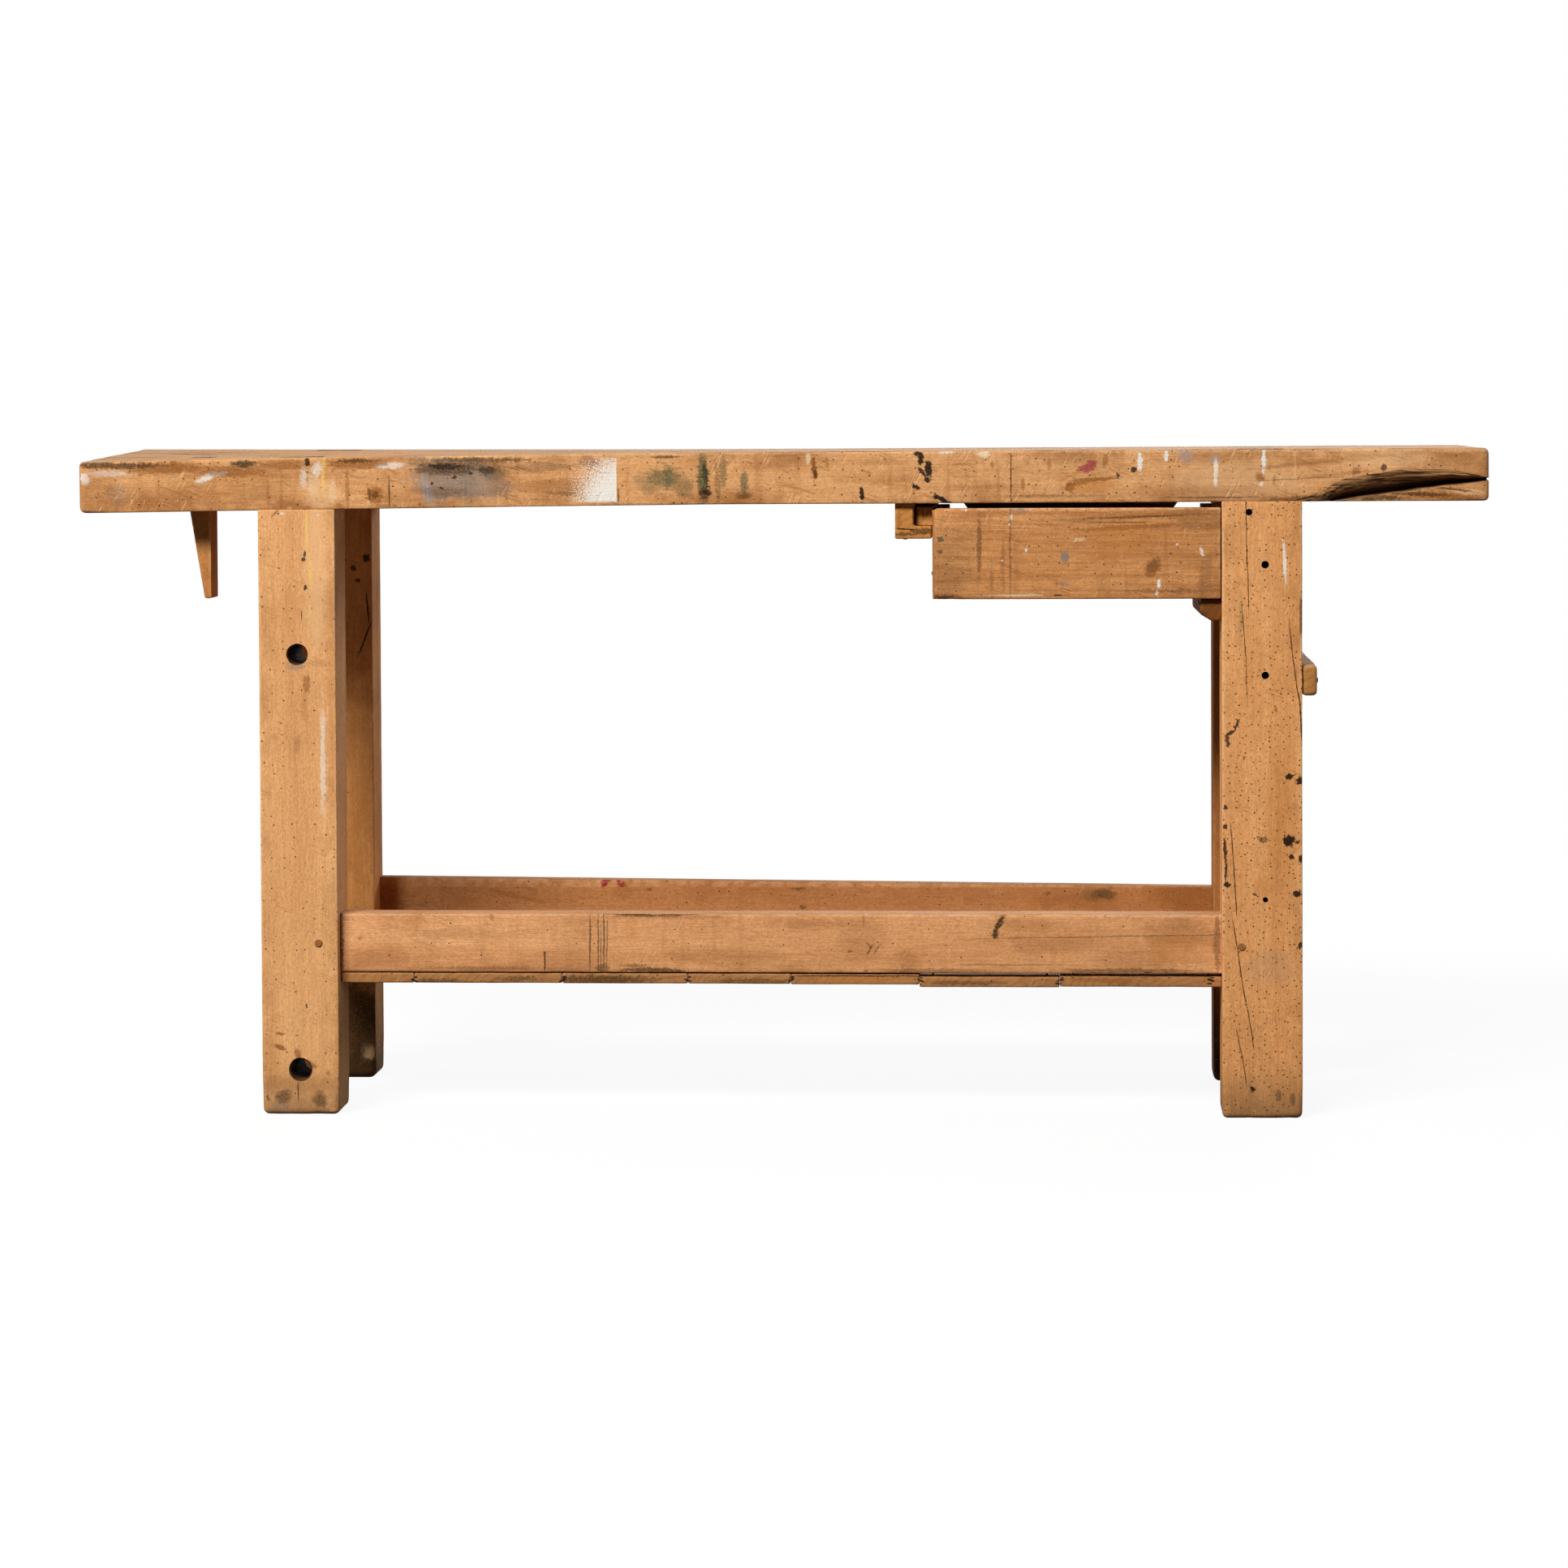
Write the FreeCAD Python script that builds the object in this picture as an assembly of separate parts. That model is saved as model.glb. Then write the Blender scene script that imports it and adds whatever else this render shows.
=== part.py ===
import FreeCAD, Part
import os

from FreeCAD import Vector

# Old joiner's bench in beech, in millimetres.
# X runs along the bench to the right, Y from front to back, Z up from the floor.
# The origin lies on the floor under the middle of the top.

# Slab top
bench_height = 830.0
top_length = 1756.0
top_depth = 400.0
top_thickness = 65.0
top_edge_round = 3.0

# Legs, flush with the front of the top
left_leg_from_end = 226.0
right_leg_from_end = 229.0
left_leg_width = 97.0
right_leg_width = 99.0
front_leg_depth = 85.0
rear_leg_depth = 78.0
rear_overhang = 10.0
leg_arris = 2.5
foot_wear = 3.0

# Leg tenons, right through the top and wedged from above
leg_tenon_width = 58.0
leg_tenon_depth = 34.0
wedge_head = 6.0
wedge_tip = 2.0
wedge_length = 42.0

# Long stretchers
stretcher_bottom = 178.0
stretcher_height = 74.0
stretcher_edge_round = 2.0
front_stretcher_setback = 18.0
front_stretcher_thickness = 42.0
rear_stretcher_thickness = 26.0
stretcher_tenon_length = 45.0
stretcher_tenon_height = 46.0
front_tenon_thickness = 16.0
rear_tenon_thickness = 11.0

# End rails between a front and a rear leg
end_rail_height = 60.0
end_rail_thickness = 30.0
end_rail_from_outside = 10.0
end_rail_tenon_length = 40.0
end_rail_tenon_height = 40.0
end_rail_tenon_thickness = 12.0

# Drawbore pegs
stretcher_peg_diameter = 10.0
left_peg_from_inside = 24.7
left_peg_rise = 38.7
right_peg_from_inside = 23.6
right_peg_rise = 36.4
peg_past_tenon = 8.0
rail_peg_diameter = 9.0

# Vise holes in the front left leg
vise_screw_diameter = 25.0
vise_screw_below_top = 186.0
vise_guide_diameter = 27.0
vise_guide_height = 57.0

# Work peg holes in the front right leg
top_peg_hole_below_top = 12.0
top_peg_hole_from_inside = 33.6
top_peg_hole_diameter = 8.0
upper_peg_hole_below_top = 77.0
middle_peg_hole_below_top = 214.0
peg_hole_from_inside = 53.3
peg_hole_diameter = 9.0
low_peg_hole_height = 272.5
low_peg_hole_diameter = 6.0
peg_hole_depth = 45.0

# Shelf boards nailed under the stretchers, left to right, cut to fill the length between the legs
shelf_thickness = 13.0
shelf_setback = 2.0
shelf_board_widths = (93.0, 187.0, 158.0, 129.0, 161.0, 175.0, 201.0)
shelf_board_gap = 0.6

# Planing stop in its mortise at the left end
stop_from_end = 128.6
stop_width = 28.0
stop_depth = 48.0
stop_setback = 57.0
stop_tail = 118.0
stop_tail_width = 9.0
stop_tip_round = 3.5
stop_below_top = 0.3

# Drawer
drawer_width = 357.0
drawer_from_back = 60.0
drawer_below_top = 6.0
drawer_front_height = 113.0
drawer_front_thickness = 20.0
drawer_front_lip = 10.0
drawer_side_thickness = 15.0
drawer_side_height = 111.0
drawer_back_thickness = 14.0
drawer_back_drop = 14.0
drawer_bottom_thickness = 8.0
drawer_bottom_rise = 8.0
drawer_groove_depth = 5.0
drawer_edge_round = 1.5

# Drawer hanger on the left side and the runner that it rides on
hanger_width = 17.0
hanger_height = 17.0
hanger_setback = 25.0
runner_setback = 10.0
runner_from_back = 35.0
runner_upright = 23.5
runner_height = 44.0
runner_lip_thickness = 16.0
runner_lip_width = 22.0
runner_edge_round = 2.5

# Ledge on the right legs under the drawer's right side
bearer_width = 26.0
bearer_height = 27.5
bearer_setback = 10.0
bearer_chamfer = 12.5

# Kicker under the top that keeps the open drawer level
kicker_length = 278.0
kicker_from_drawer = 33.0
kicker_setback = 140.0
kicker_depth = 45.0
kicker_thickness = 14.0
kicker_bevel = 12.0

# Batten outside the right legs
batten_thickness = 18.5
batten_height = 37.5
batten_below_top = 202.0
batten_setback = 3.0
batten_edge_round = 5.0

# Split at the right end of the slab: stations from the end, each with the heights above the
# underside where the hollow starts and ends on the front face, and how far it goes in
split_stations = (
    (-4.0, 35.0, 26.0, 13.0),
    (42.0, 41.0, 24.0, 19.0),
    (80.0, 41.0, 18.5, 22.0),
    (130.0, 35.0, 9.5, 20.0),
    (190.0, 28.0, -1.0, 15.0),
    (236.0, 1.0, -6.0, 5.0),
)
split_crack_rise = 2.0

# Square cut nails
board_nail_width = 3.4
drawer_nail_length = 32.0
drawer_nail_width = 2.4
nail_grip = 28.0
head_ratio = 2.1
tip_ratio = 0.4
head_thickness = 1.4
nail_from_end = 16.0

# Clearances
joint_gap = 0.2
peg_gap = 0.1
nail_gap = 0.05
slide_gap = 0.3
stop_gap = 0.3
drawer_side_gap = 1.0

# Places worked out from the sizes above
underside = bench_height - top_thickness
top_x = (-top_length / 2, top_length / 2)
top_y = (-top_depth / 2, top_depth / 2)
front_leg_y = (top_y[0], top_y[0] + front_leg_depth)
rear_leg_y = (top_y[1] - rear_overhang - rear_leg_depth, top_y[1] - rear_overhang)
left_leg_x = (top_x[0] + left_leg_from_end, top_x[0] + left_leg_from_end + left_leg_width)
right_leg_x = (top_x[1] - right_leg_from_end - right_leg_width, top_x[1] - right_leg_from_end)
clear_x = (left_leg_x[1], right_leg_x[0])
stretcher_z = (stretcher_bottom, stretcher_bottom + stretcher_height)
front_stretcher_y = (
    front_leg_y[0] + front_stretcher_setback,
    front_leg_y[0] + front_stretcher_setback + front_stretcher_thickness,
)
rear_stretcher_y = (rear_leg_y[1] - rear_stretcher_thickness, rear_leg_y[1])
shelf_z = (stretcher_bottom - shelf_thickness, stretcher_bottom)
drawer_x = (right_leg_x[0] - drawer_side_gap - drawer_width, right_leg_x[0] - drawer_side_gap)
drawer_y = (top_y[0], top_y[1] - drawer_from_back)
drawer_top = underside - drawer_below_top
drawer_z = (drawer_top - drawer_front_height, drawer_top)
lip_top = underside - runner_height + runner_lip_thickness

right = Vector(1, 0, 0)
left = Vector(-1, 0, 0)
back = Vector(0, 1, 0)
front = Vector(0, -1, 0)
up = Vector(0, 0, 1)

parts = {}


def box(x_span, y_span, z_span):
    corner = Vector(x_span[0], y_span[0], z_span[0])
    return Part.makeBox(x_span[1] - x_span[0], y_span[1] - y_span[0], z_span[1] - z_span[0], corner)


def wider(span, gap):
    return (span[0] - gap, span[1] + gap)


def middle(span):
    return (span[0] + span[1]) / 2


def centred(centre, width):
    return (centre - width / 2, centre + width / 2)


# Rounds the straight edges of a solid that run along one direction.
def round_along(solid, direction, radius, wanted=lambda centre: True):
    edges = []
    for edge in solid.Edges:
        along = (edge.Vertexes[-1].Point - edge.Vertexes[0].Point).normalize()
        if abs(along.dot(direction)) > 0.999 and wanted(edge.CenterOfMass):
            edges.append(edge)
    return solid.makeFillet(radius, edges)


# Extrudes an outline of (x, z) corners from front to back.
def prism(outline, y_span):
    corners = [Vector(x, y_span[0], z) for x, z in outline]
    face = Part.Face(Part.makePolygon(corners + corners[:1]))
    return face.extrude(Vector(0, y_span[1] - y_span[0], 0))


def rod(start, direction, diameter, length):
    return Part.makeCylinder(diameter / 2, length, start, direction)


# A square cut nail with a flat head at the start; with a gap added, the hole that it fills.
def cut_nail(start, direction, width, length, gap):
    shank = width / 2 + gap
    tip = width * tip_ratio / 2 + gap
    head = width * head_ratio / 2 + gap
    taper = Part.makeWedge(-shank, 0, -shank, -tip, -tip, shank, length + gap, shank, tip, tip)
    flat = Part.makeBox(2 * head, head_thickness + gap, 2 * head, Vector(-head, 0, -head))
    nail = taper.fuse(flat).removeSplitter()
    nail.Placement = FreeCAD.Placement(start, FreeCAD.Rotation(back, direction))
    return nail


# Cuts the same holes out of each named part.
def bore(names, holes):
    for name in names:
        parts[name] = parts[name].cut(holes)


# Drives nails at the given places, boring the named parts for them.
def drive_nails(group, names, places, width, length):
    bore(names, [cut_nail(start, direction, width, length, nail_gap) for start, direction in places])
    nails = [cut_nail(start, direction, width, length, 0) for start, direction in places]
    parts[group] = Part.makeCompound(nails)


# The waney split at the right end: a hollow lofted through a wedge-shaped section at each station.
def slab_split():
    sections = []
    for from_end, upper, lower, depth in split_stations:
        x = top_x[1] - from_end
        outside = top_y[0] - top_edge_round
        corners = [
            Vector(x, outside, underside + upper),
            Vector(x, top_y[0] + depth, underside + lower + split_crack_rise),
            Vector(x, outside, underside + lower),
        ]
        sections.append(Part.makePolygon(corners + corners[:1]))
    return Part.makeLoft(sections, True, True)


def leg_tenon_spans(x_span, y_span):
    return centred(middle(x_span), leg_tenon_width), centred(middle(y_span), leg_tenon_depth)


def stop_spans():
    x_left = top_x[0] + stop_from_end
    y_front = top_y[0] + stop_setback
    return (x_left, x_left + stop_width), (y_front, y_front + stop_depth)


def make_top():
    slab = box(top_x, top_y, (underside, bench_height))
    slab = round_along(slab, right, top_edge_round)
    through = wider((underside, bench_height), top_edge_round)
    cuts = [slab_split()]
    for x_span in (left_leg_x, right_leg_x):
        for y_span in (front_leg_y, rear_leg_y):
            tenon_x, tenon_y = leg_tenon_spans(x_span, y_span)
            cuts.append(box(wider(tenon_x, joint_gap), wider(tenon_y, joint_gap), through))
    stop_x, stop_y = stop_spans()
    cuts.append(box(wider(stop_x, stop_gap), wider(stop_y, stop_gap), through))
    parts["bench_top"] = slab.cut(cuts)


# The wedge that spreads a leg tenon; the same outline, a little larger, is its saw kerf.
def tenon_wedge(x_span, y_span, gap):
    tenon_x, tenon_y = leg_tenon_spans(x_span, y_span)
    x = middle(tenon_x)
    tip_z = bench_height - wedge_length - gap
    outline = [
        (x - wedge_tip / 2 - gap, tip_z), (x + wedge_tip / 2 + gap, tip_z),
        (x + wedge_head / 2 + gap, bench_height), (x - wedge_head / 2 - gap, bench_height),
    ]
    return prism(outline, wider(tenon_y, gap))


def make_leg(name, x_span, y_span):
    leg = box(x_span, y_span, (0, underside))
    leg = leg.makeChamfer(leg_arris, [edge for edge in leg.Edges if edge.BoundBox.ZLength > foot_wear])
    leg = leg.makeChamfer(foot_wear, [edge for edge in leg.Edges if edge.BoundBox.ZMax < foot_wear])
    tenon_x, tenon_y = leg_tenon_spans(x_span, y_span)
    tenon = box(tenon_x, tenon_y, (underside - leg_tenon_depth, bench_height))
    leg = leg.fuse(tenon).removeSplitter()
    parts[name] = leg.cut(tenon_wedge(x_span, y_span, joint_gap))


def make_legs():
    wedges = []
    for side, x_span in (("left", left_leg_x), ("right", right_leg_x)):
        for end, y_span in (("front", front_leg_y), ("rear", rear_leg_y)):
            make_leg("leg_" + end + "_" + side, x_span, y_span)
            wedges.append(tenon_wedge(x_span, y_span, 0))
    parts["tenon_wedges"] = Part.makeCompound(wedges)


# A stretcher with a tenon at each end, and the mortises for them in its two legs.
def make_stretcher(row, y_span, tenon_thickness):
    rail = round_along(box(clear_x, y_span, stretcher_z), right, stretcher_edge_round)
    tenon_x = wider(clear_x, stretcher_tenon_length)
    tenon_y = centred(middle(y_span), tenon_thickness)
    tenon_z = centred(middle(stretcher_z), stretcher_tenon_height)
    parts["stretcher_" + row] = rail.fuse(box(tenon_x, tenon_y, tenon_z)).removeSplitter()
    mortise = box(wider(tenon_x, joint_gap), wider(tenon_y, joint_gap), wider(tenon_z, joint_gap))
    bore(["leg_" + row + "_left", "leg_" + row + "_right"], [mortise])


def end_rail_x(leg_x, outward):
    if outward == left:
        return (leg_x[0] + end_rail_from_outside, leg_x[0] + end_rail_from_outside + end_rail_thickness)
    return (leg_x[1] - end_rail_from_outside - end_rail_thickness, leg_x[1] - end_rail_from_outside)


def end_rail_z():
    return (stretcher_bottom, stretcher_bottom + end_rail_height)


# A short rail between a front and a rear leg, tenoned into both near their outer faces.
def make_end_rail(side, leg_x, outward):
    rail_x = end_rail_x(leg_x, outward)
    rail_y = (front_leg_y[1], rear_leg_y[0])
    rail = round_along(box(rail_x, rail_y, end_rail_z()), back, stretcher_edge_round)
    tenon_x = centred(middle(rail_x), end_rail_tenon_thickness)
    tenon_y = wider(rail_y, end_rail_tenon_length)
    tenon_z = centred(middle(end_rail_z()), end_rail_tenon_height)
    parts["end_rail_" + side] = rail.fuse(box(tenon_x, tenon_y, tenon_z)).removeSplitter()
    mortise = box(wider(tenon_x, joint_gap), wider(tenon_y, joint_gap), wider(tenon_z, joint_gap))
    bore(["leg_front_" + side, "leg_rear_" + side], [mortise])


# Pegs driven through legs and tenons, flush with the face where they start.
def drive_pegs(group, names, places, diameter):
    holes = []
    pegs = []
    for start, direction, length in places:
        holes.append(rod(start, direction, diameter + 2 * peg_gap, length))
        pegs.append(rod(start, direction, diameter, length))
    bore(names, holes)
    parts[group] = Part.makeCompound(pegs)


def peg_frame():
    left_x = left_leg_x[1] - left_peg_from_inside
    right_x = right_leg_x[0] + right_peg_from_inside
    front_tenon_back = middle(front_stretcher_y) + front_tenon_thickness / 2
    rear_tenon_front = middle(rear_stretcher_y) - rear_tenon_thickness / 2
    front_reach = front_tenon_back - front_leg_y[0] + peg_past_tenon
    rear_reach = rear_leg_y[1] - rear_tenon_front + peg_past_tenon
    stretcher_places = []
    for x, rise in ((left_x, left_peg_rise), (right_x, right_peg_rise)):
        z = stretcher_bottom + rise
        stretcher_places.append((Vector(x, front_leg_y[0], z), back, front_reach))
        stretcher_places.append((Vector(x, rear_leg_y[1], z), front, rear_reach))
    legs = ["leg_front_left", "leg_front_right", "leg_rear_left", "leg_rear_right"]
    stretchers = ["stretcher_front", "stretcher_rear"]
    drive_pegs("stretcher_pegs", legs + stretchers, stretcher_places, stretcher_peg_diameter)

    rail_places = []
    for leg_x, outer_face, outward, inward in (
        (left_leg_x, left_leg_x[0], left, right),
        (right_leg_x, right_leg_x[1], right, left),
    ):
        tenon_middle = middle(end_rail_x(leg_x, outward))
        reach = abs(tenon_middle - outer_face) + end_rail_tenon_thickness / 2 + peg_past_tenon
        for y in (front_leg_y[1] - end_rail_tenon_length / 2, rear_leg_y[0] + end_rail_tenon_length / 2):
            rail_places.append((Vector(outer_face, y, middle(end_rail_z())), inward, reach))
    rails = ["end_rail_left", "end_rail_right"]
    drive_pegs("end_rail_pegs", legs + rails, rail_places, rail_peg_diameter)


def bore_leg_holes():
    vise = []
    for z, diameter in (
        (underside - vise_screw_below_top, vise_screw_diameter),
        (vise_guide_height, vise_guide_diameter),
    ):
        mouth = Vector(middle(left_leg_x), front_leg_y[0], z)
        vise.append(rod(mouth, back, diameter, front_leg_depth))
    bore(["leg_front_left"], vise)
    work_pegs = []
    for z, from_inside, diameter in (
        (underside - top_peg_hole_below_top, top_peg_hole_from_inside, top_peg_hole_diameter),
        (underside - upper_peg_hole_below_top, peg_hole_from_inside, peg_hole_diameter),
        (underside - middle_peg_hole_below_top, peg_hole_from_inside, peg_hole_diameter),
        (low_peg_hole_height, peg_hole_from_inside, low_peg_hole_diameter),
    ):
        mouth = Vector(right_leg_x[0] + from_inside, front_leg_y[0], z)
        work_pegs.append(rod(mouth, back, diameter, peg_hole_depth))
    bore(["leg_front_right"], work_pegs)


def make_shelf():
    board_y = (front_stretcher_y[0] + shelf_setback, rear_stretcher_y[1] - shelf_setback)
    fill = (clear_x[1] - clear_x[0]) / sum(shelf_board_widths)
    left_edge = clear_x[0]
    boards = []
    places = []
    for number, nominal in enumerate(shelf_board_widths, start=1):
        board_x = wider((left_edge, left_edge + nominal * fill), -shelf_board_gap / 2)
        left_edge += nominal * fill
        name = "shelf_board_" + str(number)
        boards.append(name)
        parts[name] = box(board_x, board_y, shelf_z)
        for y in (middle(front_stretcher_y), middle(rear_stretcher_y)):
            for x in wider(board_x, -nail_from_end):
                places.append((Vector(x, y, shelf_z[0]), up))
    carriers = boards + ["stretcher_front", "stretcher_rear"]
    drive_nails("shelf_nails", carriers, places, board_nail_width, shelf_thickness + nail_grip)


# The stop fills its mortise; its tail tapers from the left to a rounded tip.
def make_planing_stop():
    stop_x, stop_y = stop_spans()
    tail_z = underside - stop_tail
    outline = [
        (stop_x[0], bench_height - stop_below_top), (stop_x[1], bench_height - stop_below_top),
        (stop_x[1], tail_z), (stop_x[1] - stop_tail_width, tail_z), (stop_x[0], underside),
    ]
    stop = prism(outline, stop_y)
    tip = tail_z + stop_tip_round
    parts["planing_stop"] = round_along(stop, back, stop_tip_round, lambda centre: centre.z < tip)


def drawer_bottom_z():
    return (drawer_z[0] + drawer_bottom_rise, drawer_z[0] + drawer_bottom_rise + drawer_bottom_thickness)


# The bottom panel lies in grooves of the front and sides and runs under the back.
def drawer_bottom_spans(gap):
    inner_x = wider(drawer_x, -drawer_side_thickness)
    panel_x = wider(inner_x, drawer_groove_depth - joint_gap + gap)
    front_groove = drawer_y[0] + drawer_front_thickness - drawer_groove_depth
    panel_y = (front_groove + joint_gap - gap, drawer_y[1] + gap)
    return panel_x, panel_y, wider(drawer_bottom_z(), gap)


def make_drawer():
    groove = box(*drawer_bottom_spans(joint_gap))
    board = box(drawer_x, (drawer_y[0], drawer_y[0] + drawer_front_thickness), drawer_z)
    side_y = (drawer_y[0] + drawer_front_lip, drawer_y[1])
    board = round_along(board, right, drawer_edge_round, lambda centre: centre.y < side_y[0])
    side_z = (drawer_z[0], drawer_z[0] + drawer_side_height)
    side_spans = {
        "drawer_side_left": (drawer_x[0], drawer_x[0] + drawer_side_thickness),
        "drawer_side_right": (drawer_x[1] - drawer_side_thickness, drawer_x[1]),
    }
    rabbets = []
    for name, side_x in side_spans.items():
        side = box(side_x, side_y, side_z)
        side = round_along(side, back, drawer_edge_round, lambda centre: centre.z > side_z[0])
        parts[name] = side.cut(groove)
        rabbet_z = wider(drawer_z, joint_gap)
        rabbets.append(box(wider(side_x, joint_gap), wider(side_y, joint_gap), rabbet_z))
    parts["drawer_front"] = board.cut(rabbets + [groove])

    inner_x = wider(drawer_x, -drawer_side_thickness - joint_gap)
    back_y = (drawer_y[1] - drawer_back_thickness, drawer_y[1])
    back_z = (drawer_bottom_z()[1], side_z[1] - drawer_back_drop)
    parts["drawer_back"] = box(inner_x, back_y, back_z)
    parts["drawer_bottom"] = box(*drawer_bottom_spans(0))
    hang_drawer()
    nail_drawer(back_y, back_z, side_z)


# A square batten along the drawer's left side, carried on the lip of the runner.
def hang_drawer():
    hanger_x = (drawer_x[0] - hanger_width, drawer_x[0])
    hanger_z = (lip_top + slide_gap, lip_top + slide_gap + hanger_height)
    hanger_y = (drawer_y[0] + hanger_setback, drawer_y[1])
    parts["drawer_hanger"] = box(hanger_x, hanger_y, hanger_z)


def nail_drawer(back_y, back_z, side_z):
    tongue = middle((drawer_y[0] + drawer_front_lip, drawer_y[0] + drawer_front_thickness))
    front_heights = wider(side_z, -nail_from_end * 2)
    back_heights = wider(back_z, -nail_from_end)
    places = []
    for face, inward in ((drawer_x[0], right), (drawer_x[1], left)):
        places += [(Vector(face, tongue, z), inward) for z in front_heights]
        places += [(Vector(face, middle(back_y), z), inward) for z in back_heights]
    for x in (drawer_x[0] + drawer_width / 4, middle(drawer_x), drawer_x[1] - drawer_width / 4):
        places.append((Vector(x, middle(back_y), drawer_bottom_z()[0]), up))
    hanger_box = parts["drawer_hanger"].BoundBox
    hanger_span = wider((hanger_box.YMin, hanger_box.YMax), -nail_from_end * 2)
    for y in (hanger_span[0], middle(hanger_span), hanger_span[1]):
        start = Vector(drawer_x[0] - hanger_width, y, hanger_box.ZMin + hanger_height / 2)
        places.append((start, right))
    names = [name for name in parts if name.startswith("drawer_")]
    drive_nails("drawer_nails", names, places, drawer_nail_width, drawer_nail_length)


# The L-shaped runner under the top: an upright with a lip that carries the hanger.
def make_runner():
    lip_x = (drawer_x[0] - drawer_side_gap - runner_lip_width, drawer_x[0] - drawer_side_gap)
    upright_x = (lip_x[0] - runner_upright, lip_x[0])
    runner_y = (top_y[0] + runner_setback, top_y[1] - runner_from_back)
    low = underside - runner_height
    outline = [
        (upright_x[0], underside), (upright_x[0], low), (lip_x[1], low),
        (lip_x[1], lip_top), (lip_x[0], lip_top), (lip_x[0], underside),
    ]
    runner = prism(outline, runner_y)
    runner = round_along(runner, back, runner_edge_round, lambda centre: centre.z < lip_top - joint_gap)
    parts["drawer_runner"] = runner
    ends = wider(runner_y, -nail_from_end * 2)
    places = [(Vector(middle(upright_x), y, low), up) for y in (ends[0], middle(ends), ends[1])]
    names = ["drawer_runner", "bench_top"]
    drive_nails("runner_nails", names, places, board_nail_width, runner_height + nail_grip)


# The ledge on the inner faces of the right legs, chamfered below.
def make_bearer():
    high = drawer_z[0] - slide_gap
    low = high - bearer_height
    inner = right_leg_x[0] - bearer_width
    outline = [
        (inner, high), (inner, low + bearer_chamfer), (inner + bearer_chamfer, low),
        (right_leg_x[0], low), (right_leg_x[0], high),
    ]
    bearer_y = (front_leg_y[0] + bearer_setback, drawer_y[1])
    parts["drawer_bearer"] = prism(outline, bearer_y)
    z = high - (bearer_height - bearer_chamfer) / 2
    places = [
        (Vector(inner, front_leg_y[0] + front_leg_depth / 3, z), right),
        (Vector(inner, front_leg_y[1] - front_leg_depth / 4, z), right),
        (Vector(inner, middle((rear_leg_y[0], bearer_y[1])), z), right),
    ]
    names = ["drawer_bearer", "leg_front_right", "leg_rear_right"]
    drive_nails("bearer_nails", names, places, board_nail_width, bearer_width + nail_grip)


# A batten under the top with bevelled ends, just above the drawer's sides and back.
def make_kicker():
    kicker_x = (drawer_x[0] + kicker_from_drawer, drawer_x[0] + kicker_from_drawer + kicker_length)
    kicker_y = (top_y[0] + kicker_setback, top_y[0] + kicker_setback + kicker_depth)
    low = underside - kicker_thickness
    outline = [
        (kicker_x[0], underside), (kicker_x[0] + kicker_bevel, low),
        (kicker_x[1] - kicker_bevel, low), (kicker_x[1], underside),
    ]
    parts["drawer_kicker"] = prism(outline, kicker_y)
    nail_x = wider(kicker_x, -kicker_bevel - nail_from_end * 2)
    places = [(Vector(x, middle(kicker_y), low), up) for x in nail_x]
    names = ["drawer_kicker", "bench_top"]
    drive_nails("kicker_nails", names, places, board_nail_width, kicker_thickness + nail_grip)


# The batten along the outside of the right legs, worn round on its outer edges.
def make_side_batten():
    face = right_leg_x[1]
    batten_x = (face, face + batten_thickness)
    batten_y = (front_leg_y[0] + batten_setback, rear_leg_y[1] - batten_setback)
    batten_z = (underside - batten_below_top - batten_height, underside - batten_below_top)
    batten = box(batten_x, batten_y, batten_z)
    parts["side_batten"] = round_along(batten, back, batten_edge_round, lambda centre: centre.x > face)
    places = []
    for leg_y in (front_leg_y, rear_leg_y):
        for y in wider(leg_y, -nail_from_end):
            places.append((Vector(batten_x[1], y, middle(batten_z)), left))
    names = ["side_batten", "leg_front_right", "leg_rear_right"]
    drive_nails("batten_nails", names, places, board_nail_width, batten_thickness + nail_grip)


def build():
    make_top()
    make_legs()
    make_stretcher("front", front_stretcher_y, front_tenon_thickness)
    make_stretcher("rear", rear_stretcher_y, rear_tenon_thickness)
    make_end_rail("left", left_leg_x, left)
    make_end_rail("right", right_leg_x, right)
    peg_frame()
    bore_leg_holes()
    make_shelf()
    make_planing_stop()
    make_drawer()
    make_runner()
    make_bearer()
    make_kicker()
    make_side_batten()


build()
os.makedirs("parts", exist_ok=True)
for part_name, shape in parts.items():
    print(part_name, len(shape.Solids), "solids", "valid" if shape.isValid() else "broken")
    shape.exportStep("parts/" + part_name + ".step")
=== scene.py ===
import math

import bmesh
import bpy
from mathutils import Matrix, Vector, noise


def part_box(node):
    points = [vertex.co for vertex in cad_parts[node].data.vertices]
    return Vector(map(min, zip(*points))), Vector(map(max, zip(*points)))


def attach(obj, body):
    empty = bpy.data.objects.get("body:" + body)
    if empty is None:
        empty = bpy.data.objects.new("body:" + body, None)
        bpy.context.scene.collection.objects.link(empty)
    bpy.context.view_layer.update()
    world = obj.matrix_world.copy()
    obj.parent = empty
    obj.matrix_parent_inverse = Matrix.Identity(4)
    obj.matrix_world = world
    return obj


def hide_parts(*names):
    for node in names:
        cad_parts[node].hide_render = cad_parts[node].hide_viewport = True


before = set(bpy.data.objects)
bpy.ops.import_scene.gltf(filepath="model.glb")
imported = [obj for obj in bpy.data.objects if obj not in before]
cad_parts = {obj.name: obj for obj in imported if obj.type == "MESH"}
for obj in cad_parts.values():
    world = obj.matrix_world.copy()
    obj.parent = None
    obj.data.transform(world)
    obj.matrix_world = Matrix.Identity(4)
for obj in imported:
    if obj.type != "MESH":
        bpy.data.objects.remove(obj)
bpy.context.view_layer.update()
scene = bpy.context.scene
scene.view_settings.view_transform = "Standard"

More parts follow.
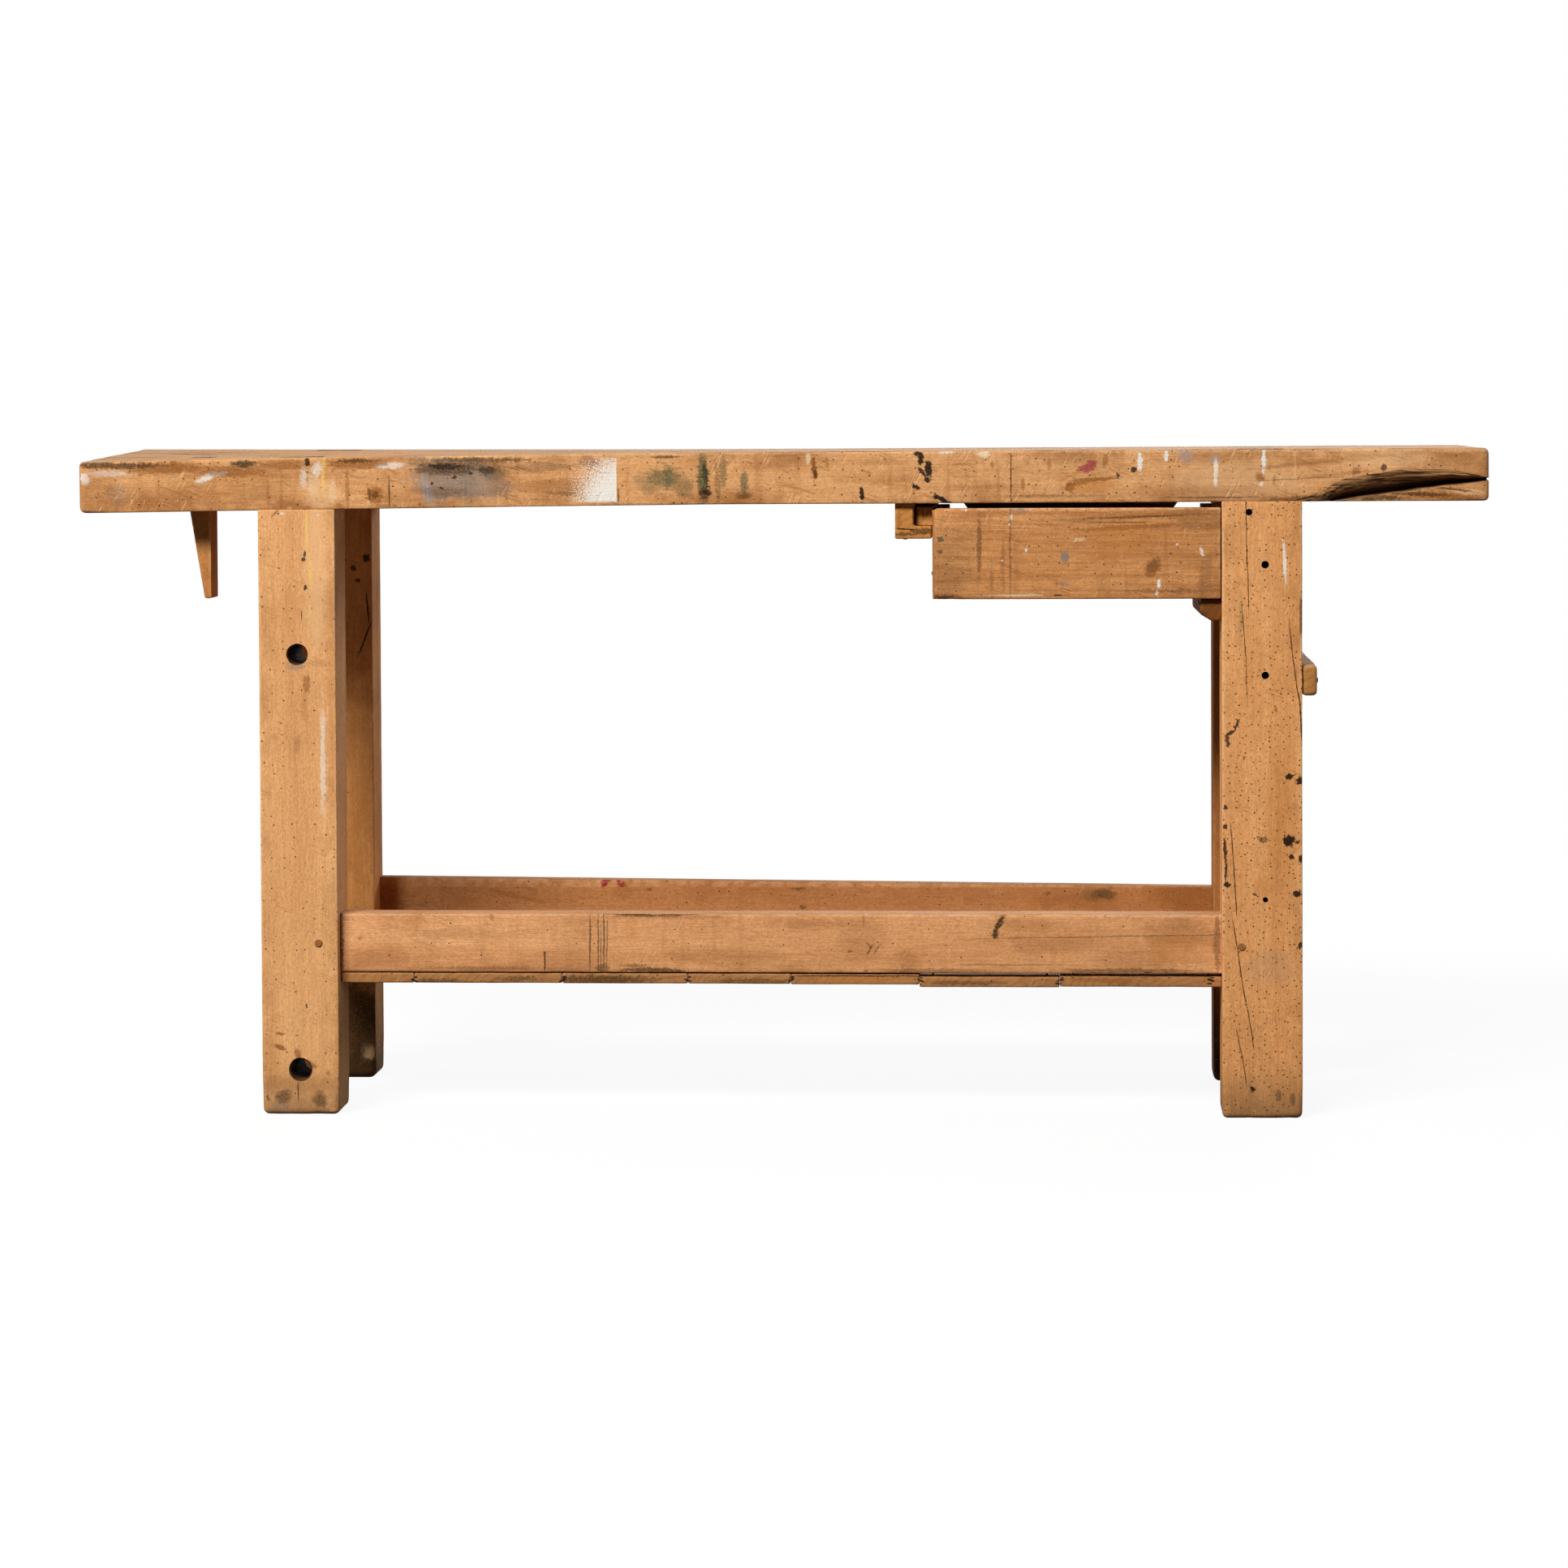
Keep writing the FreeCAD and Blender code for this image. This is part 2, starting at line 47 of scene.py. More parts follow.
# Camera, fitted to the photograph's frame of 1932 x 1932 pixels; metres and radians
cameraFit = {
    "stand": (0.3380, -5.8787, 0.8898),
    "yaw": 0.0581,
    "pitch": -0.0359,
    "roll": -0.0049,
    "lens": 105.10,
    "sensor": 36.0,
    "shiftY": -0.1377,  # the photograph's uprights stay parallel
}


def setCamera(fit):
    ahead = Vector((
        -math.sin(fit["yaw"]) * math.cos(fit["pitch"]),
        math.cos(fit["yaw"]) * math.cos(fit["pitch"]),
        math.sin(fit["pitch"]),
    ))
    level = Vector((math.cos(fit["yaw"]), math.sin(fit["yaw"]), 0))
    upright = level.cross(ahead)
    right = level * math.cos(fit["roll"]) + upright * math.sin(fit["roll"])
    up = upright * math.cos(fit["roll"]) - level * math.sin(fit["roll"])
    lens = bpy.data.cameras.new("benchCamera")
    lens.sensor_width = fit["sensor"]
    lens.lens = fit["lens"]
    lens.shift_y = fit["shiftY"]
    lens.clip_end = 300
    eye = bpy.data.objects.new("benchCamera", lens)
    turn = Matrix((right, up, -ahead)).transposed().to_4x4()
    eye.matrix_world = Matrix.Translation(fit["stand"]) @ turn
    scene.collection.objects.link(eye)
    scene.camera = eye


setCamera(cameraFit)
print("camera set")


# A socket that takes part in sums, for shaders and for geometry trees alike
class Wire:
    def __init__(self, tree, socket=None):
        self.tree = tree
        self.socket = socket

    # any node: its settings first, then the values or links of its sockets, then the wanted output
    def node(self, kind, settings=None, sockets=None, output=0):
        made = self.tree.nodes.new(kind)
        for key, value in (settings or {}).items():
            setattr(made, key, value)
        for key, value in (sockets or {}).items():
            if isinstance(value, Wire):
                self.tree.links.new(value.socket, made.inputs[key])
            else:
                made.inputs[key].default_value = value
        return Wire(self.tree, made.outputs[output] if made.outputs else None)

    def other(self, output):
        return Wire(self.tree, self.socket.node.outputs[output])

    def sum(self, operation, first, second=None):
        sockets = {0: first} if second is None else {0: first, 1: second}
        return self.node("ShaderNodeMath", {"operation": operation}, sockets)

    def __pow__(self, power):
        return self.sum("POWER", self, power)

    def __abs__(self):
        return self.sum("ABSOLUTE", self)


# a wire on either side of the sign
def addOperator(sign, operation):
    setattr(Wire, "__%s__" % sign, lambda own, other: own.sum(operation, own, other))
    setattr(Wire, "__r%s__" % sign, lambda own, other: own.sum(operation, other, own))


for sign, operation in (("add", "ADD"), ("sub", "SUBTRACT"), ("mul", "MULTIPLY"), ("truediv", "DIVIDE")):
    addOperator(sign, operation)


def ease(value, low, high):
    sockets = {"Value": value, "From Min": low, "From Max": high}
    settings = {"interpolation_type": "SMOOTHSTEP", "clamp": False}
    return value.node("ShaderNodeMapRange", settings, sockets)


def vectorSum(operation, first, second=None, output=0):
    sockets = {0: first} if second is None else {0: first, 1: second}
    return first.node("ShaderNodeVectorMath", {"operation": operation}, sockets, output)


def scaled(vector, amount):
    return vector.node("ShaderNodeVectorMath", {"operation": "SCALE"}, {0: vector, "Scale": amount})


def apart(vector):
    split = vector.node("ShaderNodeSeparateXYZ", None, {0: vector})
    return split, split.other(1), split.other(2)


def hues(paint):
    split = paint.node("ShaderNodeSeparateColor", None, {0: paint})
    return split, split.other(1), split.other(2)


def together(start, x, y, z):
    return start.node("ShaderNodeCombineXYZ", None, {0: x, 1: y, 2: z})


# colours are wires, or plain red, green and blue
def mixed(amount, under, over, how="MIX"):
    settings = {"data_type": "RGBA", "blend_type": how}
    start = next(item for item in (amount, under, over) if isinstance(item, Wire))
    under, over = (tone if isinstance(tone, Wire) else (*tone, 1.0) for tone in (under, over))
    return start.node("ShaderNodeMix", settings, {0: amount, 6: under, 7: over}, 2)


# noise over a point, with one scale or one along each direction
def grit(point, scale, detail=2.0, rough=0.5, twist=0.0, output=0):
    if isinstance(scale, float):
        scale = (scale,) * 3
    stretched = point.node("ShaderNodeMapping", None, {0: point, 3: scale})
    sockets = {"Vector": stretched, "Scale": 1.0, "Detail": detail, "Roughness": rough, "Distortion": twist}
    return point.node("ShaderNodeTexNoise", None, sockets, output)


# a colour made darker and lighter by a share either way
def varied(amount, tone, share):
    shades = mixed(amount, (1 - share / 2,) * 3, (1 + share / 2,) * 3)
    return mixed(1.0, tone, shades, "MULTIPLY")


black = (0.0, 0.0, 0.0)
mm = 1000

# Marks on the timbers: colour, and how far the mark stands up or sinks in
markKinds = {
    "white": ((0.78, 0.74, 0.66), 0.25),
    "cream": ((0.76, 0.62, 0.40), 0.2),
    "pale": ((0.80, 0.50, 0.26), 0.0),
    "yellow": ((0.80, 0.55, 0.10), 0.1),
    "green": ((0.080, 0.084, 0.038), 0.1),
    "grey": ((0.20, 0.17, 0.145), 0.05),
    "bluegrey": ((0.30, 0.29, 0.30), 0.1),
    "red": ((0.30, 0.035, 0.05), 0.2),
    "crimson": ((0.24, 0.012, 0.03), 0.2),
    "brown": ((0.24, 0.078, 0.014), 0.0),
    "rust": ((0.50, 0.18, 0.035), 0.0),
    "dark": ((0.055, 0.026, 0.010), -0.1),
    "black": ((0.010, 0.006, 0.004), -0.8),
    "crack": ((0.016, 0.008, 0.004), -1.0),
}

# What every old beech timber shares; each piece changes what it needs
beech = {
    "grain": "x",
    "tones": ((0.74, 0.40, 0.175), (0.64, 0.32, 0.13), (0.43, 0.19, 0.065)),  # light, middle and dark
    "bands": (1.3, 24.0),  # waves a metre along and across the grain
    "rings": 0.07,
    "ringGap": 0.0085,
    "pith": (0.11, -0.16),  # metres off the piece's middle
    "fibre": 0.2,
    "fleck": 0.35,
    "streak": 0.08,
    "mottle": 0.34,
    "smear": 0.0,
    # painted shade: a crown below 1 darkens the faces that look up toward black, against the light from above
    "crown": 1.0,  # how bright the faces that look up are
    "scratch": 0.4,
    "stain": 0.12,
    "stainTone": (0.40, 0.150, 0.035),
    "grime": 0.35,
    "grimeScale": 7.0,
    "grimeTone": (0.26, 0.088, 0.022),
    "warm": 0.25,
    "edgePale": 0.5,
    "edgeDirt": 0.35,
    "footDirtAndShade": 0.0,
    "footReach": 0.105,
    "footTone": (0.13, 0.075, 0.034),
    "topWear": 0.0,
    "dustTone": (0.40, 0.285, 0.185),
    "sootTone": (0.105, 0.064, 0.038),
    "cutTone": (0.14, 0.075, 0.035),
    "worm": (0.030, 0.0009, 0.35),  # cell, hole radius, share of cells with a hole
    "holeTone": (0.075, 0.027, 0.009),
    "dots": 0.0,  # how many of them are spots of paint instead
    "endTone": (0.33, 0.15, 0.055),
    "rough": 0.66,
    "specular": 0.05,
    "seed": 0.0,
    "marks": {},
    "spray": None,  # left, right, bottom and top of a sprayed patch on the front face
}


# Noises over the timbers: scale along and across, detail, roughness, twist, where it begins and is full
veils = {
    "mottle": ((240.0, 330.0, 330.0), 5.0, 0.75, 0.3, 0.30, 0.70),
    "fibre": ((26.0, 760.0, 760.0), 3.0, 0.65, 0.0, 0.30, 0.70),
    "flecks": ((260.0, 1300.0, 800.0), 2.0, 0.5, 0.0, 0.56, 0.68),
    "warm": (4.3, 3.0, 0.55, 0.0, 0.52, 0.74),
    "smear": ((75.0, 75.0, 7.0), 5.0, 0.68, 0.4, 0.50, 0.70),
    "stain": ((9.0, 34.0, 34.0), 8.0, 0.74, 0.9, 0.53, 0.61),
    "scratch": ((30.0, 45.0, 1.0), 2.0, 0.5, 0.0, 0.56, 0.64),
    "dust": ((2.2, 16.0, 16.0), 5.0, 0.6, 0.4, 0.36, 0.66),
    "soot": ((4.5, 42.0, 42.0), 6.0, 0.74, 0.8, 0.52, 0.64),
    "cut": ((7.0, 7.0, 1.0), 2.0, 0.5, 0.0, 0.56, 0.66),
    "crowd": (9.0, 2.0, 0.5, 0.0, 0.30, 0.62),
    "scuff": (330.0, 5.0, 0.75, 0.0, 0.34, 0.54),
    "cloud": (46.0, 5.0, 0.68, 0.0, 0.26, 0.74),
}


def veil(point, name):
    scale, detail, rough, twist, begin, full = veils[name]
    return ease(grit(point, scale, detail, rough, twist), begin, full)


# an empty node tree to build in
def freshTree(holder):
    holder.use_nodes = True
    holder.node_tree.nodes.clear()
    return Wire(holder.node_tree)


def newMaterial(name):
    material = bpy.data.materials.new(name)
    return material, freshTree(material)


def closeMaterial(start, bump, sockets):
    normal = start.node("ShaderNodeBump", None, bump)
    shader = start.node("ShaderNodeBsdfPrincipled", None, {**sockets, "Normal": normal})
    start.node("ShaderNodeOutputMaterial", None, {"Surface": shader})


# squared distance from a mark's middle, 1 on its outline; the paper's third coordinate is 1
def inkReach(paper, x, z, wide, tall, turn):
    c, s = math.cos(turn), math.sin(turn)
    if not turn:
        middle = {0: paper, 1: (1 / wide, 1 / tall, 0.0), 2: (-x / wide, -z / tall, 0.0)}
        own = paper.node("ShaderNodeVectorMath", {"operation": "MULTIPLY_ADD"}, middle)
        return vectorSum("DOT_PRODUCT", own, own, 1)
    ahead = vectorSum("DOT_PRODUCT", paper, (c / wide, s / wide, -(x * c + z * s) / wide), 1)
    aside = vectorSum("DOT_PRODUCT", paper, (-s / tall, c / tall, (x * s - z * c) / tall), 1)
    return ahead * ahead + aside * aside


# The marks read off the photograph, in millimetres on the piece's front face, as one layer over the wood
markLook = {
    "margin": 9.0,  # how far past a piece a mark may lie
    "rag": 7.0,  # how far the outline of a blot wanders
    "bend": 3.0,  # and how far a thin line does
    "thin": 1.6,
    "stain": 0.6,  # softer than this is a stain, harder is paint
    "deep": ("black", "crack"),
}


def markLayer(look, low, high, point, x, z):
    rag, bend, margin = markLook["rag"], markLook["bend"], markLook["margin"]
    warp = hues(grit(point, 240.0, 3.0, 0.6, 0.0, 1))
    paper = together(point, x * mm + warp[0] * rag - rag / 2, z * mm + warp[1] * rag - rag / 2, 1.0)
    sway = hues(grit(point, 38.0, 3.0, 0.6, 0.0, 1))
    ruled = together(point, x * mm + sway[0] * bend - bend / 2, z * mm + sway[1] * bend - bend / 2, 1.0)
    scuffed = veil(point, "scuff")
    lengthwise = [75.0 if axis == look["grain"] else 270.0 for axis in "xyz"]
    torn = ease(grit(point, lengthwise, 6.0, 0.78), 0.28, 0.72) * 1.6 + 0.3
    cloudy = veil(point, "cloud") * 1.1 + 0.45
    speckled = scuffed * 0.55 + 0.45
    worn = scuffed * 0.4 + 0.6
    painted, bare, relief = black, 1.0, 0.0
    for kind, (inkTone, stand) in markKinds.items():
        ink = 0.0
        deep = kind in markLook["deep"]
        for markX, markZ, wide, tall, strength, soft, *turn in look["marks"].get(kind, ()):
            across = low.x * mm - margin < markX < high.x * mm + margin
            if not across or not low.z * mm - margin < markZ < high.z * mm + margin:
                continue
            sheet = ruled if min(wide, tall) < markLook["thin"] else paper
            reach = inkReach(sheet, markX, markZ, wide, tall, math.radians(turn[0] if turn else 0))
            stain = soft / 100 >= markLook["stain"]
            reach = reach * (cloudy if stain else torn)
            sharp = soft / 100 * (0.45 if deep else 0.75)
            shape = ease(reach, (1 + sharp) ** 2, (1 - sharp) ** 2) * (strength / 100)
            if stain:
                shape = shape * speckled
            elif not deep:
                shape = shape * worn
            ink = shape.sum("MAXIMUM", shape, ink)
        if isinstance(ink, Wire):
            painted = mixed(ink, painted, inkTone)
            bare = (1 - ink) * bare
            relief = ink * stand + relief
    if look["spray"]:
        left, right, bottom, top = look["spray"]
        u, v = (x - left) / (right - left), (z - bottom) / (top - bottom)
        window = ease(u, 1.004, 0.99) * ease(v, 0.0, 0.06) * ease(v, 1.0, 0.90)
        thick = ease(u, 0.0, 1.15) * (1.2 - v * 0.75)
        dots = ease(grit(point, 520.0, 4.0, 0.75) + thick * 0.40 - 0.05, 0.56, 0.70)
        cover = dots * window * 0.92
        painted = mixed(cover, painted, markKinds["white"][0])
        bare = (1 - cover) * bare
    return 1 - bare, painted, relief


# growth: broad bands, wandering rings, fibres and ray flecks
def growth(look, grain, order, middle):
    light, mid, dark = look["tones"]
    along, across = look["bands"]
    bands = grit(grain, (along, across, across), 4.0, 0.55, 0.5)
    tone = mixed(ease(bands, 0.42, 0.70), mid, light)
    tone = mixed(ease(bands, 0.44, 0.26) * 0.75, tone, dark)
    wander = grit(grain, (1.3, 11.0, 11.0), 3.0, 0.55)
    sideA = order[1] - (middle[0] + look["pith"][0])
    sideB = order[2] - (middle[1] + look["pith"][1])
    reach = (sideA * sideA + sideB * sideB) ** 0.5 + wander * 0.045
    turns = reach * (2 * math.pi / look["ringGap"])
    ringLine = ease(turns.sum("SINE", turns), 0.1, 1.0)
    tone = mixed(ringLine * look["rings"], tone, dark)
    streak = grit(grain, (4.5, 130.0, 130.0), 4.0, 0.62, 0.4)
    tone = mixed(ease(streak, 0.52, 0.70) * look["streak"], tone, dark)
    tone = mixed(ease(streak, 0.46, 0.30) * look["streak"] * 0.8, tone, light)
    tone = varied(veil(grain, "mottle"), tone, look["mottle"])
    fibre = veil(grain, "fibre")
    tone = varied(fibre, tone, look["fibre"])
    flecks = veil(grain, "flecks")
    return mixed(flecks * look["fleck"], tone, dark), ringLine, fibre, flecks


# age: warm patches, grime, stains
def soiled(look, tone, grain, shifted):
    tone = mixed(veil(shifted, "warm") * look["warm"], tone, markKinds["rust"][0])
    cloud = grit(shifted, look["grimeScale"], 6.0, 0.66, 0.6)
    tone = mixed(ease(cloud, 0.48, 0.74) * look["grime"], tone, look["grimeTone"])
    tone = mixed(veil(shifted, "smear") * look["smear"], tone, look["grimeTone"])
    return mixed(veil(grain, "stain") * look["stain"], tone, look["stainTone"]), cloud


# how far a point lies from the nearest edge of its piece's box
def edgeReach(place, centre, half):
    toFace = [half[i] - abs(part - centre[i]) for i, part in enumerate(place)]
    least = toFace[0].sum("MINIMUM", toFace[0], toFace[1])
    most = toFace[0].sum("MAXIMUM", toFace[0], toFace[1])
    return least.sum("MAXIMUM", least, most.sum("MINIMUM", most, toFace[2]))


# lines at an angle on a face's flat coordinates, here and there
def grooves(flat, angle, spacing, width, where):
    turned = flat.node("ShaderNodeMapping", None, {0: flat, 2: (0.0, 0.0, angle)})
    return ease(abs(grit(turned, spacing, 1.0) - 0.5), *width) * veil(turned, where)


# a bench top: dust, soot and knife cuts
def workedTop(look, tone, height, upward, grain, flat):
    tone = mixed(upward * veil(grain, "dust") * 0.85, tone, look["dustTone"])
    tone = mixed(upward * veil(grain, "soot") * 0.85, tone, look["sootTone"])
    cuts = 0.0
    for angle, spread in ((0.12, 3.0), (1.45, 5.0), (-0.7, 4.0)):
        cuts = grooves(flat, angle, (spread, 190.0, 1.0), (0.010, 0.003), "cut") + cuts
    tone = mixed(upward * cuts * 0.7, tone, look["cutTone"])
    return tone, height - upward * cuts * 0.7


def wormHoles(look, tone, height, flat, shifted):
    cell, width, share = look["worm"]
    sockets = {"Vector": flat, "Scale": 1 / cell}
    hive = flat.node("ShaderNodeTexVoronoi", {"voronoi_dimensions": "2D"}, sockets)
    chance, size, paint = hues(hive.other("Color"))
    crowd = veil(shifted, "crowd")
    kept = ease(chance, share + 0.01, share) * ease(crowd + size, 0.45, 0.62)
    worm = kept * ease(hive / ((0.5 + size * 0.8) * (width / cell)), 1.2, 0.8)
    hole = mixed(ease(paint, 0.80, 0.82) * look["dots"], look["holeTone"], markKinds["cream"][0])
    return mixed(worm * 0.9, tone, hole), height - worm * 1.2


def agedWood(name, changes, node):
    look = {**beech, **changes}
    light, _, dark = look["tones"]
    low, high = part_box(node)
    centre = (low + high) / 2
    half = (high - low) / 2
    material, start = newMaterial(name)
    point = start.node("ShaderNodeTexCoord", output="Object")
    normal = point.other("Normal")
    x, y, z = apart(point)
    nx, ny, nz = (abs(part) for part in apart(normal))
    order = {"x": (x, y, z), "y": (y, x, z), "z": (z, x, y)}[look["grain"]]
    middle = [centre[i] for i in range(3) if "xyz"[i] != look["grain"]]
    seed = look["seed"]
    grain = together(start, order[0] + seed * 1.7, order[1] + seed * 0.61, order[2] + seed * 0.37)
    shifted = vectorSum("ADD", point, (seed * 0.9, seed * 0.4, seed * 1.3))
    tone, ringLine, fibre, flecks = growth(look, grain, order, middle)
    tone, cloud = soiled(look, tone, grain, shifted)

    # edges hold dirt, and their corners are rubbed pale
    edge = edgeReach((x, y, z), centre, half)
    ragged = grit(shifted, 55.0, 4.0, 0.6)
    dirt = ease(edge, 0.028, 0.0) * ease(cloud + ragged * 0.5, 0.66, 0.92)
    tone = mixed(dirt * look["edgeDirt"], tone, look["grimeTone"])
    above = ease(z, centre.z - half.z * 0.75, centre.z - half.z * 0.3)
    rubbed = ease(edge, 0.0045, 0.0012) * ease(ragged, 0.40, 0.60) * above
    tone = mixed(rubbed * look["edgePale"], tone, markKinds["pale"][0])
    height = fibre * 0.22 - flecks * 0.12 - ringLine * 0.06 + ragged * 0.15
    rough = look["rough"] + cloud * 0.18 - rubbed * 0.06

    # the ends of the grain are darker and ringed
    ends = ease({"x": nx, "y": ny, "z": nz}[look["grain"]], 0.45, 0.75)
    pores = grit(shifted, 380.0, 2.0, 0.6)
    endTone = mixed(ringLine * 0.45 + pores * 0.4, look["endTone"], dark)
    tone = mixed(ends * 0.75, tone, endTone)

    # each face's own flat coordinates, and fine scratches on them, some dark and some bright
    sideways = ease(nx, 0.55, 0.65)
    level = ease(nz, 0.55, 0.65)
    flatU = x + (y - x) * sideways
    flatV = z + (y - z) * level
    flat = together(start, flatU + seed, flatV + seed * 0.3, 0.0)
    for angle, spread, line in ((0.35, 9.0, dark), (-1.1, 12.0, light)):
        scratch = grooves(flat, angle, (spread, 160.0, 1.0), (0.040, 0.012), "scratch") * look["scratch"]
        tone = mixed(scratch, tone, line)
        height = height - scratch

    # dirt on the feet, and painted shade: the lower end darkens towards footTone within footReach of the
    # floor
    if look["footDirtAndShade"]:
        foot = ease(z + ragged * 0.05, look["footReach"], 0.022) * ease(cloud + ragged, 0.70, 1.0)
        tone = mixed(foot * look["footDirtAndShade"], tone, look["footTone"])
    # painted shade: faces that look up are darkened toward black by 1 - crown
    if look["crown"] != 1.0:
        tone = mixed(ease(apart(normal)[2], 0.3, 0.8) * (1 - look["crown"]), tone, black)
    if look["topWear"]:
        upward = ease(apart(normal)[2], 0.5, 0.8) * look["topWear"]
        tone, height = workedTop(look, tone, height, upward, grain, flat)
    tone, height = wormHoles(look, tone, height, flat, shifted)
    if look["marks"]:
        facing = ease(apart(normal)[1], -0.45, -0.7)
        cover, paint, relief = markLayer(look, low, high, point, x, z)
        under = mixed(cover * facing, tone, black)
        tone = mixed(1.0, under, mixed(facing, black, paint), "ADD")
        height = height + relief * facing

    bump = {"Strength": 0.55, "Distance": 0.0011, "Height": height}
    sockets = {"Base Color": tone, "Roughness": rough, "Specular IOR Level": look["specular"]}
    closeMaterial(start, bump, sockets)
    return material


# Dark hand-made nails
ironLook = {
    "steel": (0.10, 0.085, 0.075),
    "rust": (0.16, 0.055, 0.02),
    "patch": 260.0,
}


def oldIron(name, look):
    material, start = newMaterial(name)
    point = start.node("ShaderNodeTexCoord", output="Object")
    patch = look["patch"]
    crust = ease(grit(point, patch, 4.0, 0.65), 0.40, 0.62)
    pits = grit(point, patch * 4, 3.0, 0.6)
    tone = mixed(crust, look["steel"], look["rust"])
    tone = mixed(1.0, tone, pits * 0.6 + 0.7, "MULTIPLY")
    bump = {"Strength": 0.6, "Distance": 0.0004, "Height": pits + crust * 0.5}
    metal = {"Roughness": crust * 0.35 + 0.45, "Metallic": 0.75 - crust * 0.7}
    closeMaterial(start, bump, {"Base Color": tone, **metal})
    return material


# The torn inside of the split: long fibres, with painted shade that darkens them inwards
tornLook = {
    # painted shade: deep is the near black that the colour darkens to inwards from front
    "deep": (0.03, 0.013, 0.005),
    "fibre": (0.60, 0.29, 0.11),
    "raw": (0.80, 0.47, 0.22),
    "front": -0.2,  # it darkens inwards from here
}


def tornWood(name, look):
    material, start = newMaterial(name)
    point = start.node("ShaderNodeTexCoord", output="Object")
    strands = grit(point, (14.0, 420.0, 300.0), 4.0, 0.6, 0.4)
    broad = grit(point, (7.0, 60.0, 90.0), 3.0, 0.55, 0.5)
    fine = grit(point, (40.0, 1200.0, 1200.0), 2.0, 0.6)
    tone = mixed(ease(strands, 0.36, 0.66), look["deep"], look["fibre"])
    tone = mixed(ease(broad, 0.55, 0.72) * ease(strands, 0.40, 0.60) * 0.7, tone, look["raw"])
    tone = mixed(1.0, tone, fine * 0.7 + 0.6, "MULTIPLY")
    # painted shade: darker inwards from the front, where the hollow is shaded
    inward = ease(apart(point)[1] - look["front"] + strands * 0.007, 0.007, 0.021)
    tone = mixed(inward * 0.92, tone, look["deep"])
    bump = {"Strength": 0.9, "Distance": 0.002, "Height": strands + fine * 0.3}
    closeMaterial(start, bump, {"Base Color": tone, "Roughness": 0.85, "Specular IOR Level": 0.1})
    return material


# Pale floor and soft studio light
stageSet = {
    "floorSize": 120.0,
    "floorTone": (0.08, 0.078, 0.075),  # what the floor throws back at the bench
    "whiteNear": 0.92,  # share of plain white that the camera sees close to the bench
    "ambient": 0.03,
    "lamps": {
        # place, aim, width, height, watts
        "frontLamp": ((-2.66, -5.71, 5.33), (0.0, 0.0, 0.4), 3.8, 1.5, 850.0),
        "backLamp": ((1.2, 6.5, 3.0), (0.0, 0.0, 0.4), 4.0, 2.2, 300.0),
        "leftLamp": ((-5.5, 0.3, 1.3), (0.0, 0.0, 0.45), 3.0, 1.4, 95.0),
        "rightLamp": ((5.5, -0.1, 0.62), (0.0, 0.0, 0.58), 3.0, 0.4, 62.0),
    },
}


# 1 where the camera looks, straight or by way of a gloss or a glass
def cameraSees(start):
    path = start.node("ShaderNodeLightPath", output="Is Camera Ray")
    shown = path.sum("MAXIMUM", path, path.other("Is Glossy Ray"))
    return shown.sum("MAXIMUM", shown, path.other("Is Transmission Ray"))


def setStage(stage):
    world = bpy.data.worlds.new("studio")
    scene.world = world
    start = freshTree(world)
    shown = cameraSees(start)
    strength = shown * (1 - stage["ambient"]) + stage["ambient"]
    sky = start.node("ShaderNodeBackground", None, {"Color": (1, 1, 1, 1), "Strength": strength})
    start.node("ShaderNodeOutputWorld", None, {"Surface": sky})

    half = stage["floorSize"] / 2
    mesh = bpy.data.meshes.new("paleFloor")
    corners = [(-half, -half, 0), (half, -half, 0), (half, half, 0), (-half, half, 0)]
    mesh.from_pydata(corners, [], [(0, 1, 2, 3)])
    floor = bpy.data.objects.new("paleFloor", mesh)
    scene.collection.objects.link(floor)
    material, start = newMaterial("paleFloor")
    shown = cameraSees(start)
    point = start.node("ShaderNodeTexCoord", output="Object")
    away = vectorSum("LENGTH", point, None, 1)
    paper = grit(point, 30.0, 3.0)
    toneSeen = mixed(shown, stage["floorTone"], (0.9, 0.9, 0.9))
    toneSeen = mixed(1.0, toneSeen, paper * 0.02 + 0.98, "MULTIPLY")
    cloth = start.node("ShaderNodeBsdfDiffuse", None, {"Color": toneSeen})
    glow = start.node("ShaderNodeEmission", None, {"Color": (1, 1, 1, 1), "Strength": 1.0})
    share = shown * (ease(away, 1.0, 2.6) * (1 - stage["whiteNear"]) + stage["whiteNear"])
    blend = start.node("ShaderNodeMixShader", None, {0: share, 1: cloth, 2: glow})
    start.node("ShaderNodeOutputMaterial", None, {"Surface": blend})
    mesh.materials.append(material)

    for name, (place, aim, width, height, watts) in stage["lamps"].items():
        lamp = bpy.data.lights.new(name, "AREA")
        lamp.shape = "RECTANGLE"
        lamp.size = width
        lamp.size_y = height
        lamp.energy = watts
        holder = bpy.data.objects.new(name, lamp)
        holder.location = place
        holder.rotation_euler = (Vector(aim) - Vector(place)).to_track_quat("-Z", "Y").to_euler()
        scene.collection.objects.link(holder)


setStage(stageSet)
print("stage and lamps set")


# Geometry trees: one new tree with named inputs, and its wires
def newTree(name, inputs):
    tree = bpy.data.node_groups.new(name, "GeometryNodeTree")
    for label, kind in inputs.items():
        tree.interface.new_socket(label, in_out="INPUT", socket_type="NodeSocket" + kind)
    tree.interface.new_socket("Geometry", in_out="OUTPUT", socket_type="NodeSocketGeometry")
    entry = tree.nodes.new("NodeGroupInput")
    return tree, {label: Wire(tree, entry.outputs[label]) for label in inputs}


